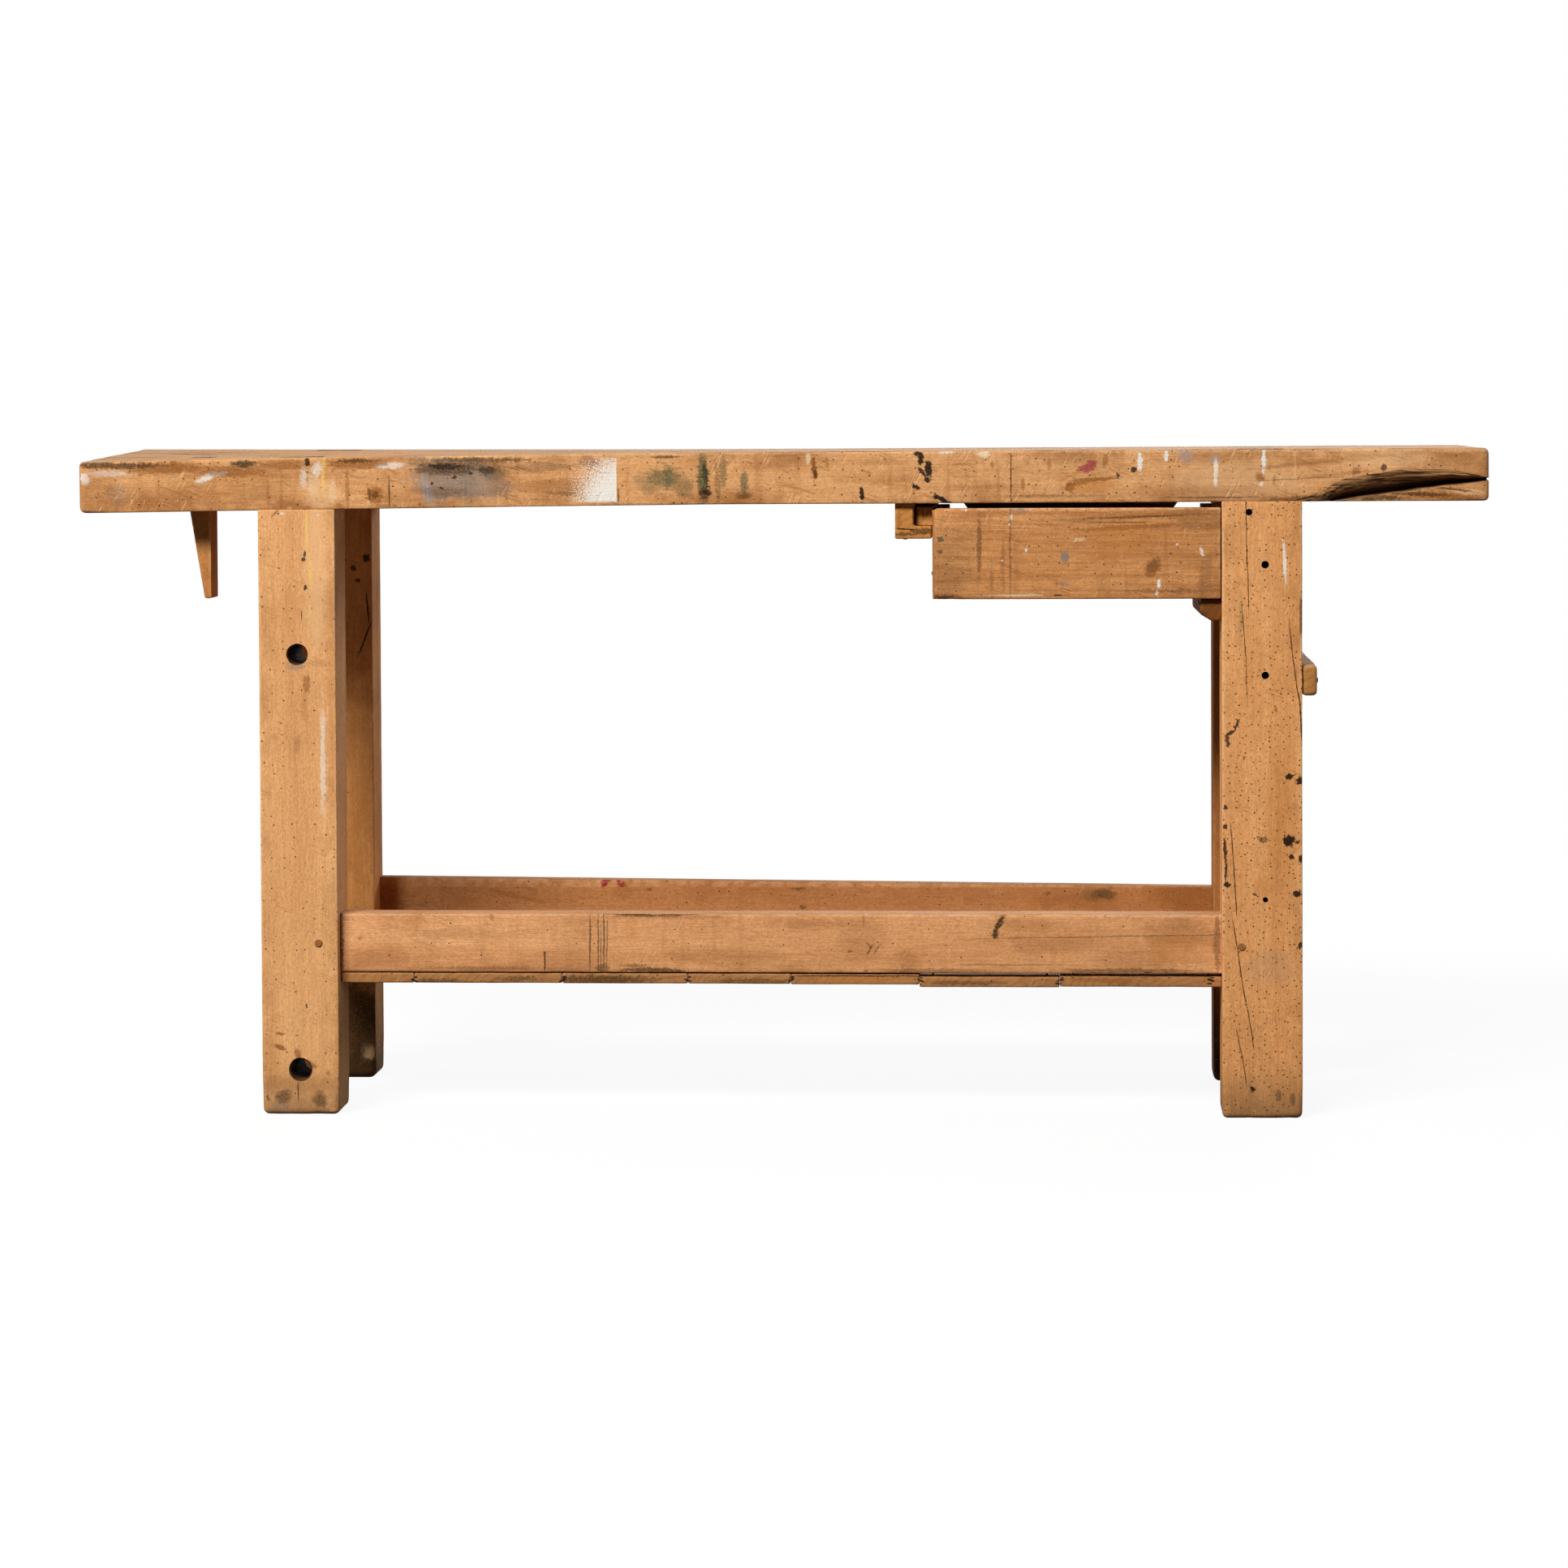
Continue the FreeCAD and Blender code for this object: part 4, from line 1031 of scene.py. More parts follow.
shelfMarks = {
    "crack": [
        (99.6, 174.2, 105.2, 0.9, 80, 50), (271.9, 174.1, 118.4, 1.2, 90, 50),
        (443.7, 174.5, 118.4, 1.2, 90, 50),
    ],
    "dark": [
        (-370, 164.3, 50.6, 1.6, 60, 70), (-206.2, 166.8, 40.5, 2, 60, 80, 1),
        (-328.9, 169.6, 26.3, 3, 60, 59), (-226.6, 168.8, 60.7, 5.1, 80, 59),
        (-32.7, 167.2, 50.6, 3, 60, 59), (-431.5, 165.2, 30.4, 4, 70, 59), (241.5, 165.8, 40.5, 2, 60, 80),
    ],
    "rust": [(99.5, 169.6, 60.7, 5.1, 50, 59)],
    "brown": [(403.3, 169.3, 30.4, 3, 60, 80, -2)],
}
# rust round each nail in the boards' ends
shelfNails = [
    (-558, 167, 20), (-462.3, 167.2, -25), (-274.7, 167.6, 25), (-116.3, 168, -20), (13.1, 168.3, 25),
    (174.6, 168.7, -25), (349.8, 169.2, 20), (536.4, 169.6, -20),
]
shelfMarks["black"] = []
for x, z, turn in shelfNails:
    shelfMarks["black"] += [
        (x, z, 4.6, 1.5, 95, 50, turn), (x + 1.6, z + 3.9, 2.4, 1.5, 95, 50),
        (x - 2.1, z - 4.6, 3.4, 1.2, 95, 50),
    ]
frontRailMarks = {
    "dark": [
        (-553.1, 216.4, 2, 36.4, 70, 70), (-369.6, 183, 70.8, 2, 40, 80), (191, 181.2, 60.7, 2, 45, 80),
        (544.5, 218.5, 3, 34.4, 60, 80), (-239.4, 214, 1.1, 36.4, 75, 50, -1),
        (-228.8, 214, 1, 36.4, 70, 50), (-225.5, 206.8, 0.9, 28.3, 60, 50),
        (-221.8, 219.1, 1.2, 36.4, 70, 50), (-217.9, 215, 1, 34.4, 60, 50, -1),
        (273.2, 239.4, 3.4, 15.2, 95, 35, -28), (268.6, 227.2, 4.5, 6.1, 97, 30, -20),
        (-159.5, 250.4, 40.5, 2, 80, 60), (112, 207.5, 1.2, 6.1, 70, 50, -30),
        (121.1, 207.6, 1, 6.1, 60, 50, -30), (86.6, 205.4, 3, 1.2, 60, 50), (106.8, 181, 3, 1.5, 60, 50),
        (438.6, 181.8, 70.8, 2, 60, 80), (282.1, 188.6, 60.7, 1, 40, 80),
    ],
    "brown": [
        (-502.9, 196, 30.4, 10.1, 30, 90), (-410.3, 226.9, 40.5, 5.1, 30, 90, 1),
        (-63, 199, 60.7, 8.1, 30, 90, -1), (39, 237.9, 40.5, 5.1, 30, 90),
        (342.8, 213.1, 50.6, 8.1, 35, 90, 1), (494.2, 228.6, 30.4, 14.2, 40, 90),
        (-154.4, 248.8, 55.7, 3, 40, 90), (101.9, 220.7, 22.3, 25.3, 28, 90),
        (104, 243.1, 1.5, 8.1, 60, 60), (111, 212.9, 5.1, 1.5, 70, 50, -45),
        (161.6, 190.3, 12.1, 12.1, 30, 90), (309.6, 239.4, 30.4, 7.1, 25, 90),
        (438.7, 198.1, 34.4, 12.1, 25, 90), (-363, 247.5, 3, 3, 60, 60), (-529.5, 220.6, 3, 2.5, 50, 70),
    ],
    "black": [
        (-224.3, 183.4, 8.1, 4, 50, 70), (-296.3, 201.6, 2, 2, 80, 50), (-165, 181.4, 34.4, 2.6, 75, 60),
        (-183.4, 186.5, 16.2, 2, 50, 70), (-134.4, 179.5, 16.2, 2, 70, 60),
        (-195.2, 251.8, 26.3, 1.2, 80, 40), (-118.7, 251.9, 20.2, 1, 70, 40),
    ],
    "crack": [
        (-296.4, 189.7, 1, 12.1, 80, 50), (423.6, 224.4, 144.7, 0.7, 40, 60, 1),
        (-543.6, 252.3, 18.4, 0.9, 60, 40),
    ],
    "rust": [
        (-464.6, 239.1, 8.1, 12.1, 30, 90), (-186.6, 234.5, 6.1, 14.2, 30, 90),
        (494.1, 206.3, 26.3, 16.2, 35, 90),
    ],
    "cream": [(-471.7, 253.4, 10.1, 1.6, 70, 50)],
    "white": [(107.1, 252.3, 3, 1.5, 80, 50)],
}
rearRailMarks = {
    "crimson": [
        (-252.2, 257.4, 6.4, 3.2, 95, 35, 10), (-254.4, 252, 4.8, 2.8, 95, 35, 25),
        (-236, 256.9, 3.8, 3.2, 95, 35, -30), (-230.6, 252, 3.7, 3.9, 95, 35, -30),
    ],
    "brown": [
        (-227.8, 245.6, 9.7, 8.6, 35, 80), (525.1, 242.2, 53.8, 23.6, 75, 90),
        (375.4, 231.3, 43, 8.6, 40, 80), (-368.4, 235.6, 43, 3.2, 50, 60, -12),
    ],
    "dark": [
        (409.7, 239.9, 15, 6.4, 60, 59), (4.9, 246.9, 8.6, 2.1, 60, 50), (332.6, 240.9, 4.3, 2.1, 60, 70),
        (10.1, 222.1, 4.3, 2.1, 70, 60), (-194.9, 245.6, 3.2, 2.1, 60, 60),
    ],
    "green": [(397.5, 240.1, 17.2, 6.4, 50, 80)],
}
drawerMarks = {
    "dark": [
        (250.2, 711, 2.6, 34.4, 60, 59), (208.3, 669.8, 20.2, 20.2, 20, 80),
        (524.6, 744.3, 30.4, 12.1, 30, 59), (444.5, 747.6, 60.7, 1.2, 75, 50, 2),
        (419.5, 740.7, 40.5, 1, 60, 50, 1), (289, 712.9, 1.2, 60.7, 50, 55),
        (203.2, 649.7, 22.3, 1.6, 70, 50), (484.4, 656, 60.7, 2, 50, 59), (202, 705.1, 3, 2.5, 70, 60),
        (464.6, 748.5, 86, 1.8, 45, 70, 2), (374.4, 742.8, 30.4, 1.4, 40, 80, -3),
        (465.5, 687.2, 6.1, 10.1, 40, 80, -35), (529.5, 674, 6.1, 22.3, 30, 90, -5),
        (279.8, 684.8, 2, 30.4, 30, 80), (265.7, 669.7, 1.6, 20.2, 30, 80),
    ],
    "brown": [
        (434.5, 734.6, 60.7, 3, 70, 55, 3), (464.4, 684.2, 8.1, 12.1, 70, 55, -30),
        (339.1, 672.5, 121.4, 3, 30, 80, 1),
    ],
    "green": [(202.1, 720.8, 3.5, 3.5, 90, 40), (218.5, 695, 22.3, 34.4, 18, 90)],
    "grey": [
        (356.9, 698.2, 4.6, 6.6, 90, 40), (298.6, 756.4, 8.1, 4, 50, 80), (354.9, 664.6, 6.1, 2.5, 60, 70),
    ],
    "white": [
        (290.1, 748.1, 1.8, 3, 90, 40), (287.6, 738.5, 1.3, 1.6, 80, 40), (308, 706.8, 1.5, 2.5, 90, 40),
        (278.9, 694.3, 1.3, 1.3, 90, 40), (495.1, 713.3, 1.3, 1.3, 90, 40),
        (525.3, 704.7, 2.4, 5.1, 80, 50, 20), (472.3, 665.1, 2.3, 6.1, 95, 40, -5),
        (470.4, 654.1, 2, 4, 70, 50), (233.8, 756.6, 1.4, 1.4, 90, 40),
    ],
    "cream": [(295.6, 650.7, 27.3, 1.2, 60, 70), (374.3, 719.7, 7.1, 2, 40, 70, 5)],
    "black": [(348, 650.8, 5.1, 1, 80, 50)],
    "rust": [(424.5, 721.5, 32.4, 20.2, 30, 90)],
}




def mergeMeshes(name, meshes):
    joined = bmesh.new()
    materials = []
    for mesh in meshes:
        first = len(joined.faces)
        joined.from_mesh(mesh)
        joined.faces.ensure_lookup_table()
        for face in joined.faces[first:]:
            own = mesh.materials[face.material_index]
            if own not in materials:
                materials.append(own)
            face.material_index = materials.index(own)
    whole = bpy.data.meshes.new(name)
    joined.to_mesh(whole)
    joined.free()
    for material in materials:
        whole.materials.append(material)
    return whole


# closed skin through rings of points, all with the same count
def skinned(name, rings, material):
    shape = bmesh.new()
    loops = [[shape.verts.new(spot) for spot in ring] for ring in rings]
    for one, two in zip(loops, loops[1:]):
        for i in range(len(one)):
            k = (i + 1) % len(one)
            shape.faces.new((one[i], one[k], two[k], two[i]))
    shape.faces.new(loops[0][::-1])
    shape.faces.new(loops[-1])
    bmesh.ops.recalc_face_normals(shape, faces=shape.faces)
    mesh = bpy.data.meshes.new(name)
    shape.to_mesh(mesh)
    shape.free()
    mesh.materials.append(material)
    return mesh


# a bored hole, not quite round, with its rim worn open
def boreMesh(name, x, front, z, radius, depth, rim, material):
    rings = []
    mouth = [(-0.01, radius + rim * 4), (0.0, radius + rim), (rim, radius)]
    for y, reach in mouth + [(depth * 0.5, radius * 0.93), (depth, radius * 0.85)]:
        ring = []
        aside = x + max(y, 0.0) * 0.035  # the auger went in a little askew
        for i in range(40):
            right, up = math.cos(i * math.tau / 40), math.sin(i * math.tau / 40)
            uneven = 1 + 0.03 * noise.noise(Vector((right * 1.7, up * 1.7, x * 40 + z * 9)))
            ring.append((aside + right * reach * uneven, front + y, z + up * reach * uneven))
        rings.append(ring)
    return skinned(name, rings, material)


# painted shade: the bores' walls take dark tones and darken further inwards, for the shade inside the holes
boreLook = {
    "front": -0.19, "deep": (0.022, 0.010, 0.004), "fibre": (0.13, 0.06, 0.022), "raw": (0.30, 0.15, 0.06),
}
boreWall = tornWood("boreWall", boreLook)
splitWall = tornWood("splitWall", tornLook)

# The top: one slab, bowed a little, mortised for the legs and the stop, and split at its right end
slab = {
    "wood": {
        "grain": "x", "tones": ((0.706, 0.367, 0.155), (0.621, 0.304, 0.120), (0.428, 0.189, 0.065)),
        "grime": 0.38, "grimeScale": 6.0, "topWear": 1.0, "edgeDirt": 0.6, "smear": 0.34, "stain": 0.34,
        "scratch": 0.8, "edgePale": 0.4, "worm": (0.011, 0.00085, 0.5), "dots": 0.8, "seed": 1.0,
        "spray": (-0.290, -0.2005, 0.767, 0.826), "marks": slabMarks,
    },
    "wear": {
        "counts": (353, 41, 17), "edge": 0.0020, "chip": 0.0035, "wave": 0.0011, "dent": 0.0005,
        "lowWear": 0.006, "highWear": 0.005, "slope": 0.0012, "sink": -0.0016, "twist": 0.0059,
    },
    "mortiseGap": 0.0002,
    "stopGap": 0.0003,
    "cut": (0.75, 0.85),  # the mortises are cut from below the slab to above it
    # the split: millimetres along the bench, its upper edge, the crack at its foot, and how deep it goes
    "split": [
        (646.0, 763.0, 759.0, 2.0), (654.2, 769.3, 759.0, 5.0), (670.5, 776.5, 760.5, 10.0),
        (686.7, 786.8, 766.0, 16.0), (701.0, 793.6, 769.0, 20.0), (717.4, 796.8, 771.6, 22.0),
        (733.6, 799.6, 773.8, 23.0), (749.8, 802.0, 775.8, 24.0), (766.1, 804.7, 777.9, 25.0),
        (784.4, 805.8, 780.5, 26.0), (798.6, 805.3, 782.7, 26.0), (814.8, 805.3, 784.8, 26.0),
        (831.0, 804.4, 786.5, 27.0), (847.3, 801.5, 788.2, 27.0), (863.5, 798.1, 790.3, 28.0),
        (875.6, 796.0, 791.5, 28.0), (890.0, 793.5, 790.5, 28.0),
    ],
}


def splitMesh(stations, front, material):
    rings, x, steps = [], stations[0][0], 11
    while x <= stations[-1][0]:
        for one, two in zip(stations, stations[1:]):
            if one[0] <= x <= two[0]:
                part = (x - one[0]) / (two[0] - one[0])
                upper, crack, deep = (one[i] + (two[i] - one[i]) * part for i in (1, 2, 3))
        ring = [(-9.0, upper + 0.6)]
        for i in range(steps):
            s = i / (steps - 1)
            rag = noise.noise(Vector((x * 0.018, s * 5.0, 3.0))) * 2.6
            rag += noise.noise(Vector((x * 0.05, s * 13.0, 8.0))) * 1.3
            rag *= 0.25 + 0.75 * math.sin(math.pi * min(1.0, s * 1.1 + 0.05))
            ring.append((deep * s ** 2.1, upper + (crack + 2.5 - upper) * s + rag))
        jag = noise.noise(Vector((x * 0.06, 1.0, 30.0)))
        bite = (2.6 + 3.0 * noise.noise(Vector((x * 0.035, 4.0, 11.0)))) * min(1.0, (880.0 - x) / 90.0)
        ring += [(deep + 5.0, crack + 1.0), (deep * 0.5, crack - 0.4 + jag * 0.6)]
        ring += [(max(bite, 0.5), crack - 1.2 + jag), (-9.0, crack - 3.0 - max(bite, 0.0) * 1.6 + jag * 1.5)]
        rings.append([(x / mm, front + y / mm, z / mm) for y, z in ring])
        x += 4.0
    return skinned("splitTool", rings, material)


slabWood = agedWood("slabBeech", slab["wood"], "bench_top")
slabLow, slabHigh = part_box("bench_top")
benchSlab = wornTimber("benchSlab", slabLow, slabHigh, 0, slabWood, 3, slab["wear"])


# how far the slab lies over its plain place at a point, since it is in wind
def slabRise(x, y):
    part, side = x / slabHigh.x, y / slabHigh.y
    worn = slab["wear"]
    return worn["slope"] * part + max(0.0, -part) ** 1.5 * (worn["sink"] + worn["twist"] * side)


legNodes = ("leg_front_left", "leg_front_right", "leg_rear_left", "leg_rear_right")
tenonHalf = (0.029, 0.017)
cutLow, cutHigh = slab["cut"]
slabTools = [splitMesh(slab["split"], slabLow.y, splitWall)]
for node in legNodes:
    low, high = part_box(node)
    midX, midY = (low.x + high.x) / 2, (low.y + high.y) / 2
    wide, deep = (part + slab["mortiseGap"] for part in tenonHalf)
    corner, far = (midX - wide, midY - deep, cutLow), (midX + wide, midY + deep, cutHigh)
    slabTools.append(boxMesh("mortise", corner, far, boreWall))
stopLow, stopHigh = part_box("planing_stop")
gap = slab["stopGap"]
corner, far = (stopLow.x - gap, stopLow.y - gap, cutLow), (stopHigh.x + gap, stopHigh.y + gap, cutHigh)
slabTools.append(boxMesh("mortise", corner, far, boreWall))
carve(benchSlab, [mergeMeshes("slabTools", slabTools)])
hand(benchSlab, "bench", "slab_beech", "bench_top")
print("slab", len(benchSlab.data.polygons), "faces")

# The legs, their tenons through the top, and the holes bored in the front ones
legs = {
    "frontLeftLeg": {
        "node": "leg_front_left", "seed": 11,
        "wood": {
            "tones": ((0.737, 0.382, 0.157), (0.669, 0.332, 0.132), (0.504, 0.223, 0.076)),
            "grime": 0.16, "footDirtAndShade": 0.45, "worm": (0.013, 0.0008, 0.5), "stain": 0.10,
            "marks": leftLegMarks,
        },
        "lowWear": 0.007,
        "bores": [(-0.6035, 0.579, 0.0125, 0.095, 0.0012), (-0.6035, 0.057, 0.0135, 0.095, 0.0015)],
    },
    "frontRightLeg": {
        "node": "leg_front_right", "seed": 14,
        "wood": {
            "tones": ((0.756, 0.371, 0.143), (0.670, 0.302, 0.106), (0.497, 0.201, 0.064)),
            "grime": 0.22, "footDirtAndShade": 0.6, "worm": (0.0074, 0.00082, 0.66), "marks": rightLegMarks,
        },
        "lowWear": 0.006,
        "bores": [
            (0.5836, 0.753, 0.004, 0.045, 0.0003), (0.6033, 0.688, 0.0045, 0.045, 0.0003),
            (0.6033, 0.551, 0.0045, 0.045, 0.0003), (0.6033, 0.2725, 0.003, 0.045, 0.0003),
        ],
    },
    "rearLeftLeg": {
        "node": "leg_rear_left", "seed": 17,
        "wood": {
            "tones": ((0.732, 0.354, 0.116), (0.614, 0.277, 0.084), (0.448, 0.177, 0.047)),
            # painted shade: the lower end darkened nearly to black where the shelf shades it
            "grime": 0.3, "footDirtAndShade": 0.95, "footReach": 0.17, "footTone": (0.04, 0.018, 0.007),
            "edgePale": 0.12, "marks": rearLegMarks,
        },
        "lowWear": 0.008,
    },
    "rearRightLeg": {
        "node": "leg_rear_right", "seed": 21,
        "wood": {
            # painted shade: tones about half those of the other legs, for the shade under the drawer and top,
            # and a lower end darkened nearly to black under the shelf
            "tones": ((0.372, 0.154, 0.045), (0.310, 0.121, 0.034), (0.223, 0.077, 0.018)),
            "grime": 0.3, "footDirtAndShade": 0.95, "footReach": 0.19, "footTone": (0.02, 0.009, 0.004),
            "edgePale": 0.12,
        },
        "lowWear": 0.006,
    },
}

legWear = {"edge": 0.0017, "chip": 0.0022, "across": 18, "step": 0.0045}
legFit = {"intoSlab": 0.001, "tenonFoot": 0.74, "belowTop": 0.0003}
for name, leg in legs.items():
    low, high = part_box(leg["node"])
    wood = agedWood(name + "Beech", {"grain": "z", "seed": float(leg["seed"]), **leg["wood"]}, leg["node"])
    worn = {**legWear, "lowWear": leg["lowWear"]}
    midX, midY = (low.x + high.x) / 2, (low.y + high.y) / 2
    shoulder = slabLow.z + legFit["intoSlab"] + slabRise(midX, low.y if midY < 0 else high.y)
    piece = wornTimber(name, low, (high.x, high.y, shoulder), 2, wood, leg["seed"], worn)
    corner = (midX - tenonHalf[0], midY - tenonHalf[1], legFit["tenonFoot"])
    crown = slabHigh.z - legFit["belowTop"] + slabRise(midX, midY)
    far = (midX + tenonHalf[0], midY + tenonHalf[1], crown)
    carve(piece, [boxMesh("tenon", corner, far, wood)], "UNION")
    tools = [boreMesh("bore", x, low.y, *shape, boreWall) for x, *shape in leg.get("bores", ())]
    if tools:
        carve(piece, [mergeMeshes("bores", tools)])
    hand(piece, "bench", "leg_beech", leg["node"])
print("legs")

# The frame's long and short rails
rails = {
    "frontStretcher": {
        "node": "stretcher_front", "grain": "x", "seed": 31,
        "wood": {
            "tones": ((0.734, 0.364, 0.159), (0.648, 0.300, 0.122), (0.508, 0.214, 0.080)),
            # painted shade: crown 0.72 darkens the rail's upward faces
            "grime": 0.25, "edgePale": 0.4, "crown": 0.72, "smear": 0.16, "stain": 0.22,
            "worm": (0.020, 0.0008, 0.4), "marks": frontRailMarks,
        },
        "wear": {"chip": 0.005, "edge": 0.0022},
    },
    "rearStretcher": {
        "node": "stretcher_rear", "grain": "x", "seed": 34,
        "wood": {
            "tones": ((0.435, 0.198, 0.075), (0.384, 0.165, 0.058), (0.269, 0.106, 0.034)),
            # painted shade: crown 0.8 darkens the rail's upward faces
            "grime": 0.3, "edgePale": 0.25, "crown": 0.8, "smear": 0.24, "stain": 0.25,
            "worm": (0.014, 0.0008, 0.4), "marks": rearRailMarks,
        },
        "wear": {"lift": 0.0042, "slope": -0.0058, "hold": 1.0},
    },
    "leftEndRail": {"node": "end_rail_left", "grain": "y", "seed": 37},
    "rightEndRail": {"node": "end_rail_right", "grain": "y", "seed": 41},
}
tenonIn = 0.002  # how far a rail's shoulders reach into the legs
inside = {
    "x": (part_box("leg_front_left")[1].x - tenonIn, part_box("leg_front_right")[0].x + tenonIn),
    "y": (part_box("leg_front_left")[1].y - tenonIn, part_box("leg_rear_left")[0].y + tenonIn),
}
for name, rail in rails.items():
    low, high = (Vector(corner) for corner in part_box(rail["node"]))
    axis = "xyz".index(rail["grain"])
    low[axis], high[axis] = inside[rail["grain"]]
    look = {"grain": rail["grain"], "seed": float(rail["seed"]), **rail.get("wood", {"grime": 0.4})}
    wood = agedWood(name + "Beech", look, rail["node"])
    piece = wornTimber(name, low, high, axis, wood, rail["seed"], {"step": 0.004, **rail.get("wear", {})})
    hand(piece, "bench", "rail_beech", rail["node"])
print("rails")

# The shelf: seven boards from front to back, nailed under the stretchers
shelf = {
    "wood": {
        "grain": "y", "tones": ((0.52, 0.25, 0.09), (0.42, 0.19, 0.065), (0.27, 0.105, 0.032)),
        "grime": 0.85, "grimeScale": 42.0, "grimeTone": (0.10, 0.042, 0.013),
        "endTone": (0.42, 0.19, 0.065), "worm": (0.02, 0.0010, 0.5), "marks": shelfMarks,
    },
    "wear": {
        "edge": 0.0007, "chip": 0.0012, "wave": 0.0008, "step": 0.007, "across": 30, "lowWear": 0.0014,
        "highWear": 0.0014,
    },
    "gap": 0.0002,  # old boards lie close
    "sag": [0.0010, 0.0011, 0.0012, 0.0014, 0.0018, 0.0049, 0.0040],
}
for i, sag in enumerate(shelf["sag"]):
    node = "shelf_board_%d" % (i + 1)
    low, high = (Vector(corner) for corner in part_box(node))
    if i:
        low.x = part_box("shelf_board_%d" % i)[1].x + shelf["gap"]
    drop = Vector((0, 0, sag))
    wood = agedWood("shelfBoard%dWood" % (i + 1), {**shelf["wood"], "seed": 50.0 + 3 * i}, node)
    piece = wornTimber("shelfBoard%d" % (i + 1), low - drop, high - drop, 1, wood, 50 + i, shelf["wear"])
    hand(piece, "bench", "shelf_wood", node)
print("shelf")


# A piece sawn to a profile across X and Z, then rubbed and weathered
def carved(name, profile, low, high, material, seed, look):
    top = max(z for x, z in profile)
    drop = look.get("drop", 0.0)  # how much lower the rear end reaches
    rings = []
    for y, deeper in ((low, 0.0), (high, drop)):
        rings.append([(x / mm, y, (z - deeper * (z < top)) / mm) for x, z in profile])
    piece = newPiece(name, skinned(name, rings, material))
    bevel = piece.modifiers.new("rubbed", "BEVEL")
    bevel.width = look["edge"]
    bevel.segments = 2
    bevel.limit_method = "ANGLE"
    even = piece.modifiers.new("even", "REMESH")
    even.mode = "VOXEL"
    even.voxel_size = look["grain"]
    even.use_smooth_shade = True
    soft = piece.modifiers.new("soft", "SMOOTH")
    soft.factor = 0.5
    soft.iterations = look["smooth"]
    addTree(piece, weathering, {**look, "seed": float(seed), "material": material})
    return settle(piece, 50.0)


# The planing stop, a tapered block that slides up through the top
stop = {
    "wood": {
        "grain": "z", "tones": ((0.60, 0.27, 0.09), (0.50, 0.213, 0.065), (0.33, 0.12, 0.03)),
        "grime": 0.35, "seed": 71.0,
    },
    "profile": [(-749.4, 825.2), (-721.4, 825.2), (-721.4, 647.0), (-730.4, 647.0), (-749.4, 765.0)],
    "shape": {"edge": 0.0012, "grain": 0.0018, "smooth": 2, "wave": 0.0003, "scale": 20.0},
}
stopWood = agedWood("stopBeech", stop["wood"], "planing_stop")
planingStop = carved("planingStop", stop["profile"], stopLow.y, stopHigh.y, stopWood, 71, stop["shape"])
hand(planingStop, "planing_stop", "stop_wood", "planing_stop")

# The L-shaped runner that carries the drawer's hanger, the bearer on the other side, the kicker above
hung = {
    "drawerRunner": {
        "node": "drawer_runner", "seed": 75,
        "profile": [
            (145.5, 767.0), (145.5, 721.0), (190.9, 721.0), (190.9, 736.9), (169.0, 736.9), (169.0, 767.0),
        ],
        "wood": {
            "grain": "y", "tones": ((0.624, 0.276, 0.072), (0.516, 0.216, 0.050), (0.336, 0.120, 0.028)),
            "endTone": (0.552, 0.240, 0.061), "marks": runnerMarks,
        },
        "shape": {"edge": 0.0010, "grain": 0.0016, "smooth": 1, "wave": 0.0005, "scale": 60.0},
    },
    "drawerBearer": {
        "node": "drawer_bearer", "seed": 78,
        "profile": [(524.0, 645.7), (524.0, 630.7), (536.5, 618.2), (550.4, 618.2), (550.4, 645.7)],
        "wood": {
            # painted shade: the bearer's tones are about half, for the shade under the drawer front
            "grain": "y", "tones": ((0.255, 0.098, 0.024), (0.195, 0.066, 0.015), (0.112, 0.035, 0.007)),
            "endTone": (0.180, 0.059, 0.012),
        },
        "shape": {"edge": 0.0012, "grain": 0.0018, "smooth": 1, "wave": 0.0010, "scale": 55.0, "drop": 9.0},
    },
    "drawerKicker": {
        "node": "drawer_kicker", "seed": 82,
        "profile": [(225.0, 767.0), (237.0, 751.0), (491.0, 751.0), (503.0, 767.0)],
        "wood": {"grain": "x", "tones": ((0.40, 0.19, 0.07), (0.32, 0.14, 0.045), (0.2, 0.08, 0.022))},
        "shape": {"edge": 0.0008, "grain": 0.0020, "smooth": 1, "wave": 0.0005, "scale": 40.0},
    },
}
for name, item in hung.items():
    low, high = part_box(item["node"])
    wood = agedWood(name + "Wood", {"seed": float(item["seed"]), "grime": 0.35, **item["wood"]}, item["node"])
    piece = carved(name, item["profile"], low.y, high.y, wood, item["seed"], item["shape"])
    hand(piece, "bench", "batten_wood", item["node"])

# The batten nailed across the right legs
batten = {
    "wood": {
        "grain": "y", "tones": ((0.561, 0.264, 0.079), (0.451, 0.204, 0.058), (0.293, 0.120, 0.032)),
        "endTone": (0.464, 0.210, 0.059), "seed": 86.0,
    },
    "wear": {
        "edge": 0.0025, "chip": 0.004, "lowWear": 0.003, "highWear": 0.003, "across": 26, "step": 0.005,
    },
}
battenWood = agedWood("battenWood", batten["wood"], "side_batten")
low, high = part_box("side_batten")
sideBatten = wornTimber("sideBatten", low, high, 1, battenWood, 86, batten["wear"])
hand(sideBatten, "bench", "batten_wood", "side_batten")
print("stop, runner, bearer, kicker and batten")

